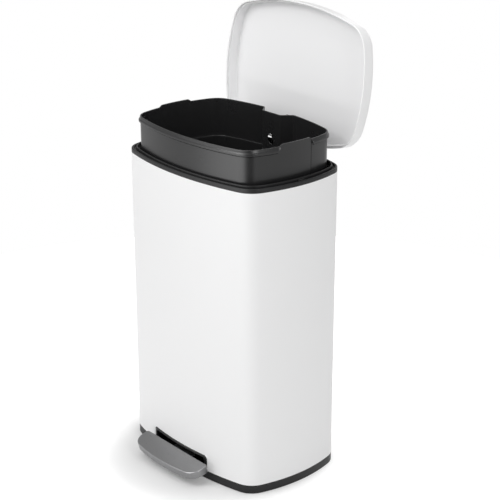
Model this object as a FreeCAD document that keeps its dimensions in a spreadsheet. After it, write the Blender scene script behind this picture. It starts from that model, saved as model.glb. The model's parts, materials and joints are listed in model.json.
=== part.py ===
import FreeCAD, Part
import math
import os
import re

import Sketcher

# Rectangular step bin with bowed sides. Millimetres, +Z up, the front faces -Y, and the origin is on
# the floor at the middle of the body. The lid is modelled closed about its own hinge axis and then
# turned open; the pedal is modelled pressed, and the inner bucket lifted by bucket_rise.

SIZES = [
    # name, value, what it is
    ("width", 397, "body, across"),
    ("depth", 273.5, "body, front to back"),
    ("front_bow", 614, "radius of the bowed front and back"),
    ("side_bow", 308.5, "radius of the bowed sides"),
    ("corner_radius", 43, "upright corners of the body"),
    ("shell_wall", 0.8, "sheet of the outer shell"),
    ("shell_top", 600, "level of the shell's upper edge"),
    ("ring_top", 18, "level where the shell stands on the base ring"),
    ("foot_height", 0.8, "feet below the base ring"),
    ("foot_radius", 10, "rubber foot"),
    ("foot_side", 150, "foot from the middle, sideways"),
    ("foot_fore", 85, "foot from the middle, front and back"),
    ("ring_wall", 8, "base ring, inwards"),
    ("floor_low", 5, "under side of the base floor"),
    ("floor_wall", 3, "base floor"),
    ("upstand_top", 42, "top of the base's upstand inside the shell"),
    ("moulding_wall", 2.5, "wall of the base and rim mouldings"),
    ("fit_gap", 0.15, "between a moulding and the shell around it"),
    ("surround_width", 165.5, "frame of the pedal opening"),
    ("surround_x", -4.75, "middle of that frame"),
    ("surround_top", 49.5, "top of that frame"),
    ("surround_band", 7, "face of that frame at its ends"),
    ("surround_head", 4.5, "face of that frame along its top"),
    ("surround_deep", 6, "frame, inwards from the shell's face"),
    ("surround_proud", 0.6, "frame in front of the shell"),
    ("surround_corner", 6, "its upper corners"),
    ("rim_skirt", 14, "rim below the shell's top edge"),
    ("rim_web", 4, "top of the rim's web above the shell"),
    ("bead_top", 8.3, "outer bead above the shell"),
    ("bead_wall", 4.5, "outer bead, inwards"),
    ("ridge_top", 11.5, "inner ridge above the shell"),
    ("ridge_wall", 2.4, "inner ridge"),
    ("ridge_gap", 1.2, "between the ridge and the closed lid"),
    ("ledge_top", 0.8, "ledge that the bucket's bead rests on, above the shell's top"),
    ("ledge_wall", 2.5, "that ledge"),
    ("lid_side_margin", 4.9, "lid inside the body's outline, sideways"),
    ("lid_end_margin", 2.15, "lid inside the body's outline, front and back"),
    ("lid_front_bow", 571, "bowed front and back of the lid"),
    ("lid_side_bow", 317, "bowed sides of the lid"),
    ("lid_corner", 51, "corners of the lid"),
    ("lid_tall", 29, "lid, lip to top"),
    ("lid_wall", 2.6, "wall of the lid"),
    ("lid_shoulder", 12, "round shoulder of the lid"),
    ("lip_level", 9.5, "closed lid's lip above the shell"),
    ("liner_wall", 1.8, "inner dish of the lid"),
    ("liner_gap", 0.6, "between the lid and its dish"),
    ("liner_lip", 3.5, "dish's edge inside the lip"),
    ("liner_top_gap", 0.4, "between the two tops"),
    ("hinge_inset", 2.95, "hinge axis inside the body's back"),
    ("hinge_rise", 11.45, "hinge axis above the shell"),
    ("open_angle", 96.9, "lid, closed to open, degrees"),
    ("pin_radius", 2.5, "hinge, crank and lever pins"),
    ("pin_clearance", 0.05, "running fit on the pins"),
    ("barrel_radius", 4.5, "hinge barrel and ears"),
    ("arm_half", 19.2, "half width of the lid's arm"),
    ("ear_gap", 0.3, "between arm and ears"),
    ("ear_wall", 3, "ear of the hinge bracket"),
    ("crank_radius", 20.6, "hinge axis to crank pin"),
    ("cheek_inner", 4, "crank's cheek from the middle"),
    ("cheek_wall", 3, "crank's cheek"),
    ("mech_x", -6, "middle of the mechanism, sideways"),
    ("rod_radius", 2.5, "push rod"),
    ("plate_wall", 5, "yoke and foot plates of the rod"),
    ("guide_clearance", 0.08, "rod in its guides"),
    ("pivot_setback", 76.85, "pedal axle behind the body's front"),
    ("axle_level", 34, "pedal axle above the floor"),
    ("axle_radius", 3, "pedal axle"),
    ("lever_half", 28, "half width of the pedal lever"),
    ("lever_wall", 3, "sheet of the pedal lever"),
    ("bracket_gap", 3, "between lever and axle bracket"),
    ("pedal_half", 95, "half width of the pedal pad"),
    ("pedal_reach", 45.8, "pad, back to front along its slope"),
    ("pedal_front_bow", 457, "bowed front of the pad"),
    ("pedal_side_bow", 204, "bowed ends of the pad"),
    ("pedal_corner", 25, "front corners of the pad"),
    ("pedal_tall", 15.5, "edge of the pad"),
    ("pedal_wall", 2.5, "skin of the pad"),
    ("pedal_back", 7.45, "pad's back edge in front of the body"),
    ("pedal_level", 42, "level of the pad's back edge"),
    ("pedal_slope", 14.6, "slope of the pressed pad, degrees"),
    ("bucket_side_margin", 21.2, "bucket inside the body's outline, sideways"),
    ("bucket_end_margin", 12.15, "bucket inside the body's outline, front and back"),
    ("bucket_front_bow", 546, "bowed front and back of the bucket"),
    ("bucket_side_bow", 294, "bowed sides of the bucket"),
    ("bucket_corner", 38.5, "corners of the bucket"),
    ("bucket_wall", 2, "wall of the bucket"),
    ("bucket_bottom", 152.8, "under side of the raised bucket above the floor"),
    ("bucket_draft", 0.4, "draft of the bucket, degrees"),
    ("bucket_rise", 61.8, "bucket lifted above its seat"),
    ("bead_out", 3, "bucket's bead beyond its wall"),
    ("bead_low", 10.2, "bead's under side below the bucket's top"),
    ("bead_high", 3.6, "bead's upper side below the bucket's top"),
    ("bead_gap", 0.7, "between the bead and the rim"),
    ("tab_half", 36.5, "half length of the bucket's grip tabs"),
    ("tab_rise", 4, "grip tab above the bucket's top"),
    ("panel_out", 1, "raised side panel of the bucket"),
    ("bucket_gap", 0.3, "between the bucket's panels and the rim's ledge"),
    ("step_down", 76.5, "inner step below the bucket's top"),
    ("step_in", 1, "inner step of the bucket"),
    ("channel_floor", 24, "half width of the bucket's back groove, at its floor"),
    ("channel_room", 13.17, "that groove's floor in front of the push rod's axis"),
    ("channel_mouth", 41.2, "half width of that groove, at the wall"),
    ("bag_hole_radius", 10.5, "hole for the bag's end"),
    ("bag_hole_down", 52, "that hole below the bucket's top"),
    ("screw_radius", 1.5, "shank of the small screws"),
    ("screw_head", 3, "head of the small screws"),
    ("head_tall", 1.8, "height of their heads"),
    ("hole_gap", 0.1, "round a screw or rivet"),
]

doc = FreeCAD.newDocument("pedal_bin")
sheet = doc.addObject("Spreadsheet::Sheet", "sizes")
for row, (name, size, note) in enumerate(SIZES, start=1):
    sheet.set(f"A{row}", note)
    sheet.set(f"B{row}", str(size))
    sheet.setAlias(f"B{row}", name)
doc.recompute()

NAMES = {name for name, _, _ in SIZES}
NODES = []


# ---------------------------------------------------------------- expressions
def bind(text):
    """Point the size names in an expression at the spreadsheet."""
    return re.sub(r"[a-z_]+", lambda m: "sizes." + m[0] if m[0] in NAMES else m[0], str(text))


def value(text):
    """Work an expression out as a plain number."""
    result = sheet.evalExpression(bind(text))
    return float(getattr(result, "Value", result))


def drive(thing, path, text):
    thing.setExpression(path, bind(text))


# Levels and places that several pieces share.
HINGE_Y = "(depth / 2 - hinge_inset)"
HINGE_Z = "(shell_top + hinge_rise)"
LIP = "(lip_level - hinge_rise)"
FLOOR = "(floor_low + floor_wall)"
PIVOT_Y = "(pivot_setback - depth / 2)"
TRAVEL = "(2 * crank_radius * sin(open_angle / 2))"
ROD_Y = f"({HINGE_Y} - crank_radius * (1 + cos(open_angle / 2)) / 2)"
LEVER_Z = f"(axle_level + {TRAVEL} / 2)"
YOKE_Z = f"({HINGE_Z} + crank_radius * sin(open_angle / 2))"
YOKE_HALF = "(crank_radius * (1 - cos(open_angle / 2)) / 2)"
SEAT_TOP = "(shell_top + ledge_top + bead_low)"
BUCKET_TOP = f"({SEAT_TOP} + bucket_rise)"
BUCKET_TALL = f"({BUCKET_TOP} - bucket_bottom)"
BUCKET_BACK = "(depth / 2 - bucket_end_margin)"
CHANNEL_DEEP = f"({BUCKET_BACK} - {ROD_Y} + channel_room)"
INNER = "(shell_wall + fit_gap)"
SKIRT_FACE = f"(depth / 2 - {INNER} - moulding_wall)"

BODY = ("width", "depth", "front_bow", "side_bow", "corner_radius")
LID = ("(width - 2 * lid_side_margin)", "(depth - 2 * lid_end_margin)",
       "lid_front_bow", "lid_side_bow", "lid_corner")
BUCKET = ("(width - 2 * bucket_side_margin)", "(depth - 2 * bucket_end_margin)",
          "bucket_front_bow", "bucket_side_bow", "bucket_corner")


# ---------------------------------------------------------------- sketches
def new_body(name):
    return doc.addObject("PartDesign::Body", name)


def sketch_on(body, name, role="XY_Plane", level="0", back="0"):
    """A sketch on one of the body's own planes, lifted by level and moved back."""
    sketch = body.newObject("Sketcher::SketchObject", name)
    plane = next(p for p in body.Origin.OriginFeatures if p.Role == role)
    sketch.AttachmentSupport = [(plane, "")]
    sketch.MapMode = "FlatFace"
    drive(sketch, "AttachmentOffset.Base.z", level)
    drive(sketch, "AttachmentOffset.Base.y", back)
    return sketch


def constrain(sketch, kind, *parts):
    """Add a constraint; a last part that is text becomes its expression."""
    if isinstance(parts[-1], str):
        index = sketch.addConstraint(Sketcher.Constraint(kind, *parts[:-1], value(parts[-1])))
        drive(sketch, f"Constraints[{index}]", parts[-1])
    else:
        sketch.addConstraint(Sketcher.Constraint(kind, *parts))


def arc(cx, cy, radius, start, end):
    circle = Part.Circle(FreeCAD.Vector(cx, cy, 0), FreeCAD.Vector(0, 0, 1), radius)
    return Part.ArcOfCircle(circle, start, end)


def corner_centre(big, big_radius, side, side_radius, corner):
    """Centre of a corner arc that touches a front arc and a side arc from inside."""
    r0, r1 = big_radius - corner, side_radius - corner
    dx, dy = side[0] - big[0], side[1] - big[1]
    gap = math.hypot(dx, dy)
    along = (gap * gap + r0 * r0 - r1 * r1) / (2 * gap)
    off = math.sqrt(r0 * r0 - along * along)
    ends = [(big[0] + (along * dx + s * off * dy) / gap, big[1] + (along * dy - s * off * dx) / gap)
            for s in (1, -1)]
    return max(ends, key=lambda p: p[0])


def outline(sketch, plan, inset="0"):
    """The bowed rectangle: four long arcs joined by four corner arcs, moved inwards by inset."""
    across, along, front_bow, side_bow, corner = plan
    a, b = value(f"{across} / 2 - ({inset})"), value(f"{along} / 2 - ({inset})")
    long_radius = value(f"{front_bow} - ({inset})")
    side_radius = value(f"{side_bow} - ({inset})")
    r = value(f"{corner} - ({inset})")
    front, side = (0, long_radius - b), (a - side_radius, 0)
    cx, cy = corner_centre(front, long_radius, side, side_radius, r)
    on_front = math.atan2(cy - front[1], cx - front[0])
    on_side = math.atan2(cy - side[1], cx - side[0])
    turn = math.pi
    arcs = [
        arc(front[0], front[1], long_radius, -turn - on_front, on_front),
        arc(cx, cy, r, on_front, on_side),
        arc(side[0], 0, side_radius, on_side, -on_side),
        arc(cx, -cy, r, -on_side, -on_front),
        arc(0, -front[1], long_radius, -on_front, turn + on_front),
        arc(-cx, -cy, r, turn + on_front, turn + on_side),
        arc(-side[0], 0, side_radius, turn + on_side, turn - on_side),
        arc(-cx, cy, r, turn - on_side, turn - on_front),
    ]
    first = sketch.addGeometry(arcs, False)[0]
    for i in range(8):
        constrain(sketch, "Tangent", first + i, 2, first + (i + 1) % 8, 1)
    for i in (0, 4):
        constrain(sketch, "PointOnObject", first + i, 3, -2)
        constrain(sketch, "Radius", first + i, f"{front_bow} - ({inset})")
    for i in (2, 6):
        constrain(sketch, "PointOnObject", first + i, 3, -1)
        constrain(sketch, "Radius", first + i, f"{side_bow} - ({inset})")
    for i in (1, 3, 5, 7):
        constrain(sketch, "Radius", first + i, f"{corner} - ({inset})")
    constrain(sketch, "DistanceY", -1, 1, first, 3, f"{front_bow} - {along} / 2")
    constrain(sketch, "DistanceY", first + 4, 3, -1, 1, f"{front_bow} - {along} / 2")
    constrain(sketch, "DistanceX", first + 2, 3, -1, 1, f"{side_bow} - {across} / 2")
    constrain(sketch, "DistanceX", -1, 1, first + 6, 3, f"{side_bow} - {across} / 2")


def polygon(sketch, points):
    """A closed run of straight lines through points given as pairs of expressions."""
    places = [FreeCAD.Vector(value(x), value(y), 0) for x, y in points]
    lines = [Part.LineSegment(p, places[(i + 1) % len(places)]) for i, p in enumerate(places)]
    first = sketch.addGeometry(lines, False)[0]
    for i, (x, y) in enumerate(points):
        constrain(sketch, "Coincident", first + i, 2, first + (i + 1) % len(points), 1)
        constrain(sketch, "DistanceX", -1, 1, first + i, 1, x)
        constrain(sketch, "DistanceY", -1, 1, first + i, 1, y)


def circle(sketch, x, y, radius):
    centre = FreeCAD.Vector(value(x), value(y), 0)
    index = sketch.addGeometry(Part.Circle(centre, FreeCAD.Vector(0, 0, 1), value(radius)), False)
    constrain(sketch, "DistanceX", -1, 1, index, 3, x)
    constrain(sketch, "DistanceY", -1, 1, index, 3, y)
    constrain(sketch, "Radius", index, radius)


# ---------------------------------------------------------------- features
def pad(body, sketch, length, back=False, taper=None):
    feature = body.newObject("PartDesign::Pad", sketch.Name + "_pad")
    feature.Profile = sketch
    drive(feature, "Length", length)
    feature.Reversed = back
    if taper:
        drive(feature, "TaperAngle", taper)
    return feature


def pocket(body, sketch, length, back=False, taper=None):
    feature = body.newObject("PartDesign::Pocket", sketch.Name + "_cut")
    feature.Profile = sketch
    drive(feature, "Length", length)
    feature.Reversed = back
    if taper:
        drive(feature, "TaperAngle", taper)
    return feature


def round_edges(body, radius, test):
    """Fillet the edges of the body's tip that pass the test."""
    doc.recompute()
    tip = body.Tip
    edges = [f"Edge{i}" for i, edge in enumerate(tip.Shape.Edges, start=1) if test(edge)]
    feature = body.newObject("PartDesign::Fillet", body.Name + "_round")
    feature.Base = (tip, edges)
    drive(feature, "Radius", radius)
    return feature


def at_level(level):
    """Does an edge lie flat at this level?"""
    z = value(level)
    return lambda edge: abs(edge.BoundBox.ZMin - z) < 0.01 and abs(edge.BoundBox.ZMax - z) < 0.01


def ring(body, name, plan, outer, inner, low, high, back="0"):
    """A wall between two insets of one plan, from one level to another."""
    sketch = sketch_on(body, name, level=low, back=back)
    outline(sketch, plan, outer)
    outline(sketch, plan, inner)
    return pad(body, sketch, f"{high} - ({low})")


def slab(body, name, plan, inset, low, high, back="0"):
    """A solid plate of one plan, from one level to another."""
    sketch = sketch_on(body, name, level=low, back=back)
    outline(sketch, plan, inset)
    return pad(body, sketch, f"{high} - ({low})")


def place(thing, x, y, z):
    for axis, text in zip("xyz", (x, y, z)):
        drive(thing, f"Placement.Base.{axis}", text)


def box(name, low, high):
    """A box between two corners given as expressions."""
    thing = doc.addObject("Part::Box", name)
    for side, start, end in zip(("Length", "Width", "Height"), low, high):
        drive(thing, side, f"{end} - ({start})")
    place(thing, *low)
    return thing


def cylinder(name, radius, length, x, y, z, along="z"):
    """A cylinder whose first end stands at x, y, z and which runs along an axis."""
    thing = doc.addObject("Part::Cylinder", name)
    turns = {"x": ((0, 1, 0), 90), "y": ((1, 0, 0), -90), "z": ((0, 0, 1), 0)}
    direction, angle = turns[along]
    thing.Placement = FreeCAD.Placement(
        FreeCAD.Vector(), FreeCAD.Rotation(FreeCAD.Vector(*direction), angle))
    drive(thing, "Radius", radius)
    drive(thing, "Height", length)
    place(thing, x, y, z)
    return thing


def fuse(name, *parts):
    thing = doc.addObject("Part::MultiFuse", name)
    thing.Shapes = list(parts)
    return thing


def cut(name, base, *tools):
    thing = doc.addObject("Part::Cut", name)
    thing.Base = base
    thing.Tool = tools[0] if len(tools) == 1 else fuse(name + "_tools", *tools)
    return thing


def common(name, first, second):
    thing = doc.addObject("Part::MultiCommon", name)
    thing.Shapes = [first, second]
    return thing


def group(name, parts):
    """Separate solids that share one node."""
    thing = doc.addObject("Part::Compound", name)
    thing.Links = parts
    return thing


def node(thing, name):
    """Name a finished piece; its label names its file."""
    thing.Label = name
    NODES.append(thing)
    return thing


def open_with_lid(thing):
    """Turn a piece of the lid about the hinge axis to where the open lid stands."""
    thing.Placement = FreeCAD.Placement(
        FreeCAD.Vector(), FreeCAD.Rotation(FreeCAD.Vector(1, 0, 0), -value("open_angle")))
    drive(thing, "Placement.Rotation.Angle", "-open_angle")
    place(thing, "0", HINGE_Y, HINGE_Z)
    return thing


def slope_with_pad(thing):
    """Tilt a piece of the pedal's pad to the pressed slope."""
    thing.Placement = FreeCAD.Placement(
        FreeCAD.Vector(), FreeCAD.Rotation(FreeCAD.Vector(1, 0, 0), value("pedal_slope")))
    drive(thing, "Placement.Rotation.Angle", "pedal_slope")
    place(thing, "0", "-depth / 2 - pedal_back", "pedal_level")
    return thing


def across_mech(offset):
    return f"mech_x + ({offset})"


# ---------------------------------------------------------------- body of the bin
def outer_shell():
    body = new_body("shell_tube")
    ring(body, "shell_plan", BODY, "0", "shell_wall", "ring_top", "shell_top")
    half = "surround_width / 2 + fit_gap"
    opening = box("shell_opening", (f"surround_x - ({half})", "-depth", "ring_top - 1"),
                  (f"surround_x + {half}", "0", "surround_top + fit_gap"))
    return node(cut("shell_cut", body, rounded_top("shell_opening_round", opening)), "outer_shell")


def rounded_top(name, opening):
    """Round the two upper corners of a box that is seen from the front."""
    doc.recompute()
    top = opening.Shape.BoundBox.ZMax
    edges = [i for i, edge in enumerate(opening.Shape.Edges, start=1)
             if abs(edge.BoundBox.ZMin - top) < 0.01 and edge.BoundBox.YLength > 1]
    thing = doc.addObject("Part::Fillet", name)
    thing.Base = opening
    radius = value("surround_corner")
    thing.Edges = [(i, radius, radius) for i in edges]
    return thing


def base_tray():
    body = new_body("tray_moulding")
    ring(body, "tray_ring", BODY, "0", "ring_wall", "foot_height", "ring_top")
    slab(body, "tray_floor", BODY, "ring_wall - 1", "floor_low", FLOOR)
    ring(body, "tray_upstand", BODY, INNER, f"{INNER} + moulding_wall", "ring_top - 1", "upstand_top")
    half = "surround_width / 2 + 1"
    gap = box("tray_gap", (f"surround_x - ({half})", "-depth", "ring_top"),
              (f"surround_x + {half}", "0", "upstand_top + 1"))
    holes = [screw_hole(f"tray_hole_{i}", x, y) for i, (x, y) in enumerate(BRACKET_SCREWS)]
    return node(cut("tray_cut", body, gap, *holes), "base_tray")


def screw_hole(name, x, y):
    return cylinder(name, "screw_radius + hole_gap", "floor_wall + 2", x, y, "floor_low - 1")


def pedal_surround():
    body = new_body("surround_arc")
    ring(body, "surround_plan", BODY, "-surround_proud", "surround_deep", "ring_top", "surround_top")
    half = "surround_width / 2"
    outer = box("surround_outer", (f"surround_x - {half}", "-depth", "ring_top"),
                (f"surround_x + {half}", "0", "surround_top"))
    piece = common("surround_piece", body, rounded_top("surround_outer_round", outer))
    inner = box("surround_inner", (f"surround_x - ({half} - surround_band)", "-depth", "ring_top - 1"),
                (f"surround_x + {half} - surround_band", "0", "surround_top - surround_head"))
    return node(cut("surround_cut", piece, rounded_top("surround_inner_round", inner)),
                "pedal_surround")


def rubber_feet():
    feet = [cylinder(f"foot_{i}", "foot_radius", "floor_low", f"{sx} * foot_side",
                     f"{sy} * foot_fore", "0")
            for i, (sx, sy) in enumerate([(-1, -1), (1, -1), (-1, 1), (1, 1)])]
    return node(group("feet", feet), "rubber_feet")


def top_rim():
    body = new_body("rim_moulding")
    inner = f"{INNER} + moulding_wall"
    web = "shell_top + rim_web"
    ring(body, "rim_skirt_plan", BODY, INNER, inner, "shell_top - rim_skirt", web)
    ledge = sketch_on(body, "rim_ledge_plan", level="shell_top + ledge_top - ledge_wall")
    outline(ledge, BODY, INNER)
    outline(ledge, BUCKET, "-(panel_out + bucket_gap)")
    pad(body, ledge, "ledge_wall")
    flange = sketch_on(body, "rim_flange_plan", level="shell_top")
    outline(flange, BODY)
    outline(flange, BUCKET, "-(bead_out + bead_gap)")
    pad(body, flange, "rim_web")
    ring(body, "rim_bead_plan", BODY, "0", "bead_wall", web, "shell_top + bead_top")
    ridge = "lid_wall + ridge_gap"
    ring(body, "rim_ridge_plan", LID, ridge, f"{ridge} + ridge_wall", web, "shell_top + ridge_top")
    round_edges(body, "bead_wall * 0.4", at_level("shell_top + bead_top"))
    round_edges(body, "ridge_wall * 0.4", at_level("shell_top + ridge_top"))
    half = "arm_half + ear_gap + ear_wall + 4.5"
    front = f"{ROD_Y} - 16"
    low = "shell_top - rim_skirt"
    pocket_low = box("rim_pocket_low", (across_mech(f"-({half})"), front, low),
                     (across_mech(half), SKIRT_FACE, "shell_top + ridge_top + 1"))
    pocket_high = box("rim_pocket_high", (across_mech(f"-({half})"), front, "shell_top + 2"),
                      (across_mech(half), "depth", "shell_top + ridge_top + 1"))
    holes = [cylinder(f"rim_hole_{i}", "screw_radius + hole_gap", "moulding_wall + 4", x,
                      f"{SKIRT_FACE} - 2", z, along="y") for i, (x, z) in enumerate(HINGE_SCREWS)]
    return node(cut("rim_cut", body, pocket_low, pocket_high, *holes), "top_rim")


def rim_bumpers():
    """Two rubber pads in the rim's groove that the closed lid comes down on."""
    low, high = "shell_top + rim_web", "shell_top + lip_level - 0.2"
    pads = []
    for i, side in enumerate((-1, 1)):
        edge = "width / 2 - lid_side_margin - lid_wall"
        start, end = (edge, f"{edge} + 2.4") if side > 0 else (f"-({edge}) - 2.4", f"-({edge})")
        pads.append(box(f"bumper_{i}", (start, "-7", low), (end, "7", high)))
    return node(group("bumpers", pads), "rim_bumpers")


# ---------------------------------------------------------------- pedal axle and its brackets
BRACKET_IN = "(lever_half + bracket_gap)"
BRACKET_OUT = f"({BRACKET_IN} + 3)"
FLANGE_OUT = f"({BRACKET_IN} + 17)"
BRACKET_SCREWS = [(f"{side} * ({BRACKET_IN} + 10)", f"{PIVOT_Y} + ({shift})")
                  for side in (-1, 1) for shift in (-6, 6)]


def axle_brackets():
    sides = []
    for i, side in enumerate((-1, 1)):
        def span(inner, outer):
            return (inner, outer) if side > 0 else (f"-({outer})", f"-({inner})")
        x0, x1 = span(BRACKET_IN, BRACKET_OUT)
        upright = box(f"bracket_upright_{i}", (x0, f"{PIVOT_Y} - 11", FLOOR),
                      (x1, f"{PIVOT_Y} + 11", "axle_level"))
        head = cylinder(f"bracket_head_{i}", "11", "3", x0, PIVOT_Y, "axle_level", along="x")
        f0, f1 = span(BRACKET_IN, FLANGE_OUT)
        flange = box(f"bracket_flange_{i}", (f0, f"{PIVOT_Y} - 11", FLOOR),
                     (f1, f"{PIVOT_Y} + 11", f"{FLOOR} + 3"))
        bore = cylinder(f"bracket_bore_{i}", "axle_radius + pin_clearance", "9", f"{x0} - 3",
                        PIVOT_Y, "axle_level", along="x")
        holes = [cylinder(f"bracket_hole_{i}_{k}", "screw_radius + hole_gap", "5", x, y,
                          f"{FLOOR} - 1") for k, (x, y) in enumerate(BRACKET_SCREWS)]
        solid = fuse(f"bracket_solid_{i}", upright, head, flange)
        sides.append(cut(f"bracket_{i}", solid, bore, *holes))
    return node(group("brackets", sides), "axle_brackets")


def bracket_screws():
    screws = []
    for i, (x, y) in enumerate(BRACKET_SCREWS):
        shank = cylinder(f"bracket_shank_{i}", "screw_radius", f"{FLOOR} + 3 - floor_low", x, y,
                         "floor_low")
        head = cylinder(f"bracket_screw_{i}", "screw_head", "head_tall", x, y, f"{FLOOR} + 3")
        screws.append(fuse(f"bracket_fixing_{i}", shank, head))
    return node(group("bracket_fixings", screws), "bracket_screws")


def pedal_axle():
    end = f"({BRACKET_OUT} + 3)"
    shaft = cylinder("axle_shaft", "axle_radius", f"2 * {end}", f"-{end}", PIVOT_Y, "axle_level",
                     along="x")
    head = cylinder("axle_head", "axle_radius + 2", "2", f"-{end}", PIVOT_Y, "axle_level", along="x")
    return node(fuse("axle", shaft, head), "pedal_axle")


def axle_clip():
    start = f"{BRACKET_OUT} + 0.6"
    disc = cylinder("clip_disc", "axle_radius + 3", "1.2", start, PIVOT_Y, "axle_level", along="x")
    bore = cylinder("clip_bore", "axle_radius + pin_clearance", "3", f"{start} - 1", PIVOT_Y,
                    "axle_level", along="x")
    return node(cut("clip", disc, bore), "axle_clip")


def pedal_stop():
    block = box("stop_block", ("-12", f"{PIVOT_Y} - 67.5", FLOOR),
                ("12", f"{PIVOT_Y} - 60", f"{TONGUE_LOW} - 0.3"))
    return node(block, "pedal_stop")


# ---------------------------------------------------------------- pedal
TONGUE_LOW = "(axle_level - 6.5)"
LEVER_PIN_Y = (f"({PIVOT_Y} + sqrt(({ROD_Y} - {PIVOT_Y}) * ({ROD_Y} - {PIVOT_Y})"
               f" - {TRAVEL} * {TRAVEL} / 4))")


def pad_outline(sketch, inset="0"):
    """The pad's plan: a straight back, two bowed ends, round front corners and a bowed front."""
    a = value(f"pedal_half - ({inset})")
    reach = value(f"pedal_reach - ({inset})")
    front_radius = value(f"pedal_front_bow - ({inset})")
    side_radius = value(f"pedal_side_bow - ({inset})")
    r = value(f"pedal_corner - ({inset})")
    back = -value(inset)
    front, side = (0, front_radius - reach), (a - side_radius, 0)
    cx, cy = corner_centre(front, front_radius, side, side_radius, r)
    on_front = math.atan2(cy - front[1], cx - front[0])
    on_side = math.atan2(cy - side[1], cx - side[0])
    on_back = math.asin(back / side_radius)
    edge = side[0] + side_radius * math.cos(on_back)
    turn = math.pi
    first = sketch.addGeometry([
        arc(front[0], front[1], front_radius, -turn - on_front, on_front),
        arc(cx, cy, r, on_front, on_side),
        arc(side[0], 0, side_radius, on_side, on_back),
        Part.LineSegment(FreeCAD.Vector(edge, back, 0), FreeCAD.Vector(-edge, back, 0)),
        arc(-side[0], 0, side_radius, turn - on_back, turn - on_side),
        arc(-cx, cy, r, turn - on_side, turn - on_front),
    ], False)[0]
    for one, other in ((0, 1), (1, 2), (4, 5), (5, 0)):
        constrain(sketch, "Tangent", first + one, 2, first + other, 1)
    constrain(sketch, "Coincident", first + 2, 2, first + 3, 1)
    constrain(sketch, "Coincident", first + 3, 2, first + 4, 1)
    constrain(sketch, "Horizontal", first + 3)
    constrain(sketch, "DistanceY", -1, 1, first + 3, 1, f"-({inset})")
    constrain(sketch, "PointOnObject", first, 3, -2)
    constrain(sketch, "DistanceY", -1, 1, first, 3, "pedal_front_bow - pedal_reach")
    constrain(sketch, "Radius", first, f"pedal_front_bow - ({inset})")
    for i in (1, 5):
        constrain(sketch, "Radius", first + i, f"pedal_corner - ({inset})")
    for i in (2, 4):
        constrain(sketch, "PointOnObject", first + i, 3, -1)
        constrain(sketch, "Radius", first + i, f"pedal_side_bow - ({inset})")
    constrain(sketch, "DistanceX", first + 2, 3, -1, 1, "pedal_side_bow - pedal_half")
    constrain(sketch, "DistanceX", -1, 1, first + 4, 3, "pedal_side_bow - pedal_half")


RIVETS = [(x, y) for x in ("-16", "16") for y in ("-12", "-30")]


def pedal_pad():
    body = new_body("pad_cover")
    face = sketch_on(body, "pad_plan")
    pad_outline(face)
    pad(body, face, "pedal_tall", back=True)
    round_edges(body, "1.2", at_level("0"))
    hollow = sketch_on(body, "pad_hollow", level="-pedal_wall")
    pad_outline(hollow, "pedal_wall")
    pocket(body, hollow, "pedal_tall")
    slot = box("pad_slot", ("-lever_half - 0.4", "-5", "-pedal_tall - 1"),
               ("lever_half + 0.4", "1", "-pedal_tall + lever_wall + 0.2"))
    return node(slope_with_pad(cut("pad_piece", body, slot)), "pedal_pad")


def pedal_core():
    body = new_body("pad_core")
    face = sketch_on(body, "core_plan", level="-pedal_tall + lever_wall + 0.1")
    pad_outline(face, "pedal_wall + 0.3")
    pad(body, face, "pedal_tall - lever_wall - pedal_wall - 0.2")
    holes = [cylinder(f"core_hole_{i}", "2 + hole_gap", "6", x, y, "-pedal_tall")
             for i, (x, y) in enumerate(RIVETS)]
    return node(slope_with_pad(cut("core_piece", body, *holes)), "pedal_core")


def pedal_rivets():
    rivets = []
    for i, (x, y) in enumerate(RIVETS):
        shank = cylinder(f"rivet_shank_{i}", "2", "5.8", x, y, "-pedal_tall")
        head = cylinder(f"rivet_head_{i}", "4", "1.2", x, y, "-pedal_tall - 1.2")
        rivets.append(fuse(f"rivet_{i}", shank, head))
    return node(slope_with_pad(group("rivets", rivets)), "pedal_rivets")


def lever_profile(sketch):
    """Side view of the lever's sheet: under the pad, down a step, through the opening and back."""
    slope = "tan(pedal_slope)"
    back = "(depth / 2 + pedal_back)"
    under = f"(pedal_level - pedal_tall / cos(pedal_slope) + {slope} * {back})"
    thick = "(lever_wall / cos(pedal_slope))"
    tip = f"(-{back} - 37)"
    bend = f"(-{back} + 2.6)"
    step = f"(-{back} + 5.4)"
    rear = f"({ROD_Y} - 22)"
    polygon(sketch, [
        (tip, f"{under} + {slope} * {tip}"),
        (bend, f"{under} + {slope} * {bend}"),
        (step, TONGUE_LOW),
        (f"{PIVOT_Y} - 60", TONGUE_LOW),
        (rear, "axle_level + 4"),
        (rear, "axle_level + 4 + lever_wall"),
        (f"{PIVOT_Y} - 60", f"{TONGUE_LOW} + lever_wall"),
        (f"{step} + 0.6", f"{TONGUE_LOW} + lever_wall"),
        (f"{bend} + 0.6", f"{under} + {slope} * {bend} + {thick}"),
        (tip, f"{under} + {slope} * {tip} + {thick}"),
    ])


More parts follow.
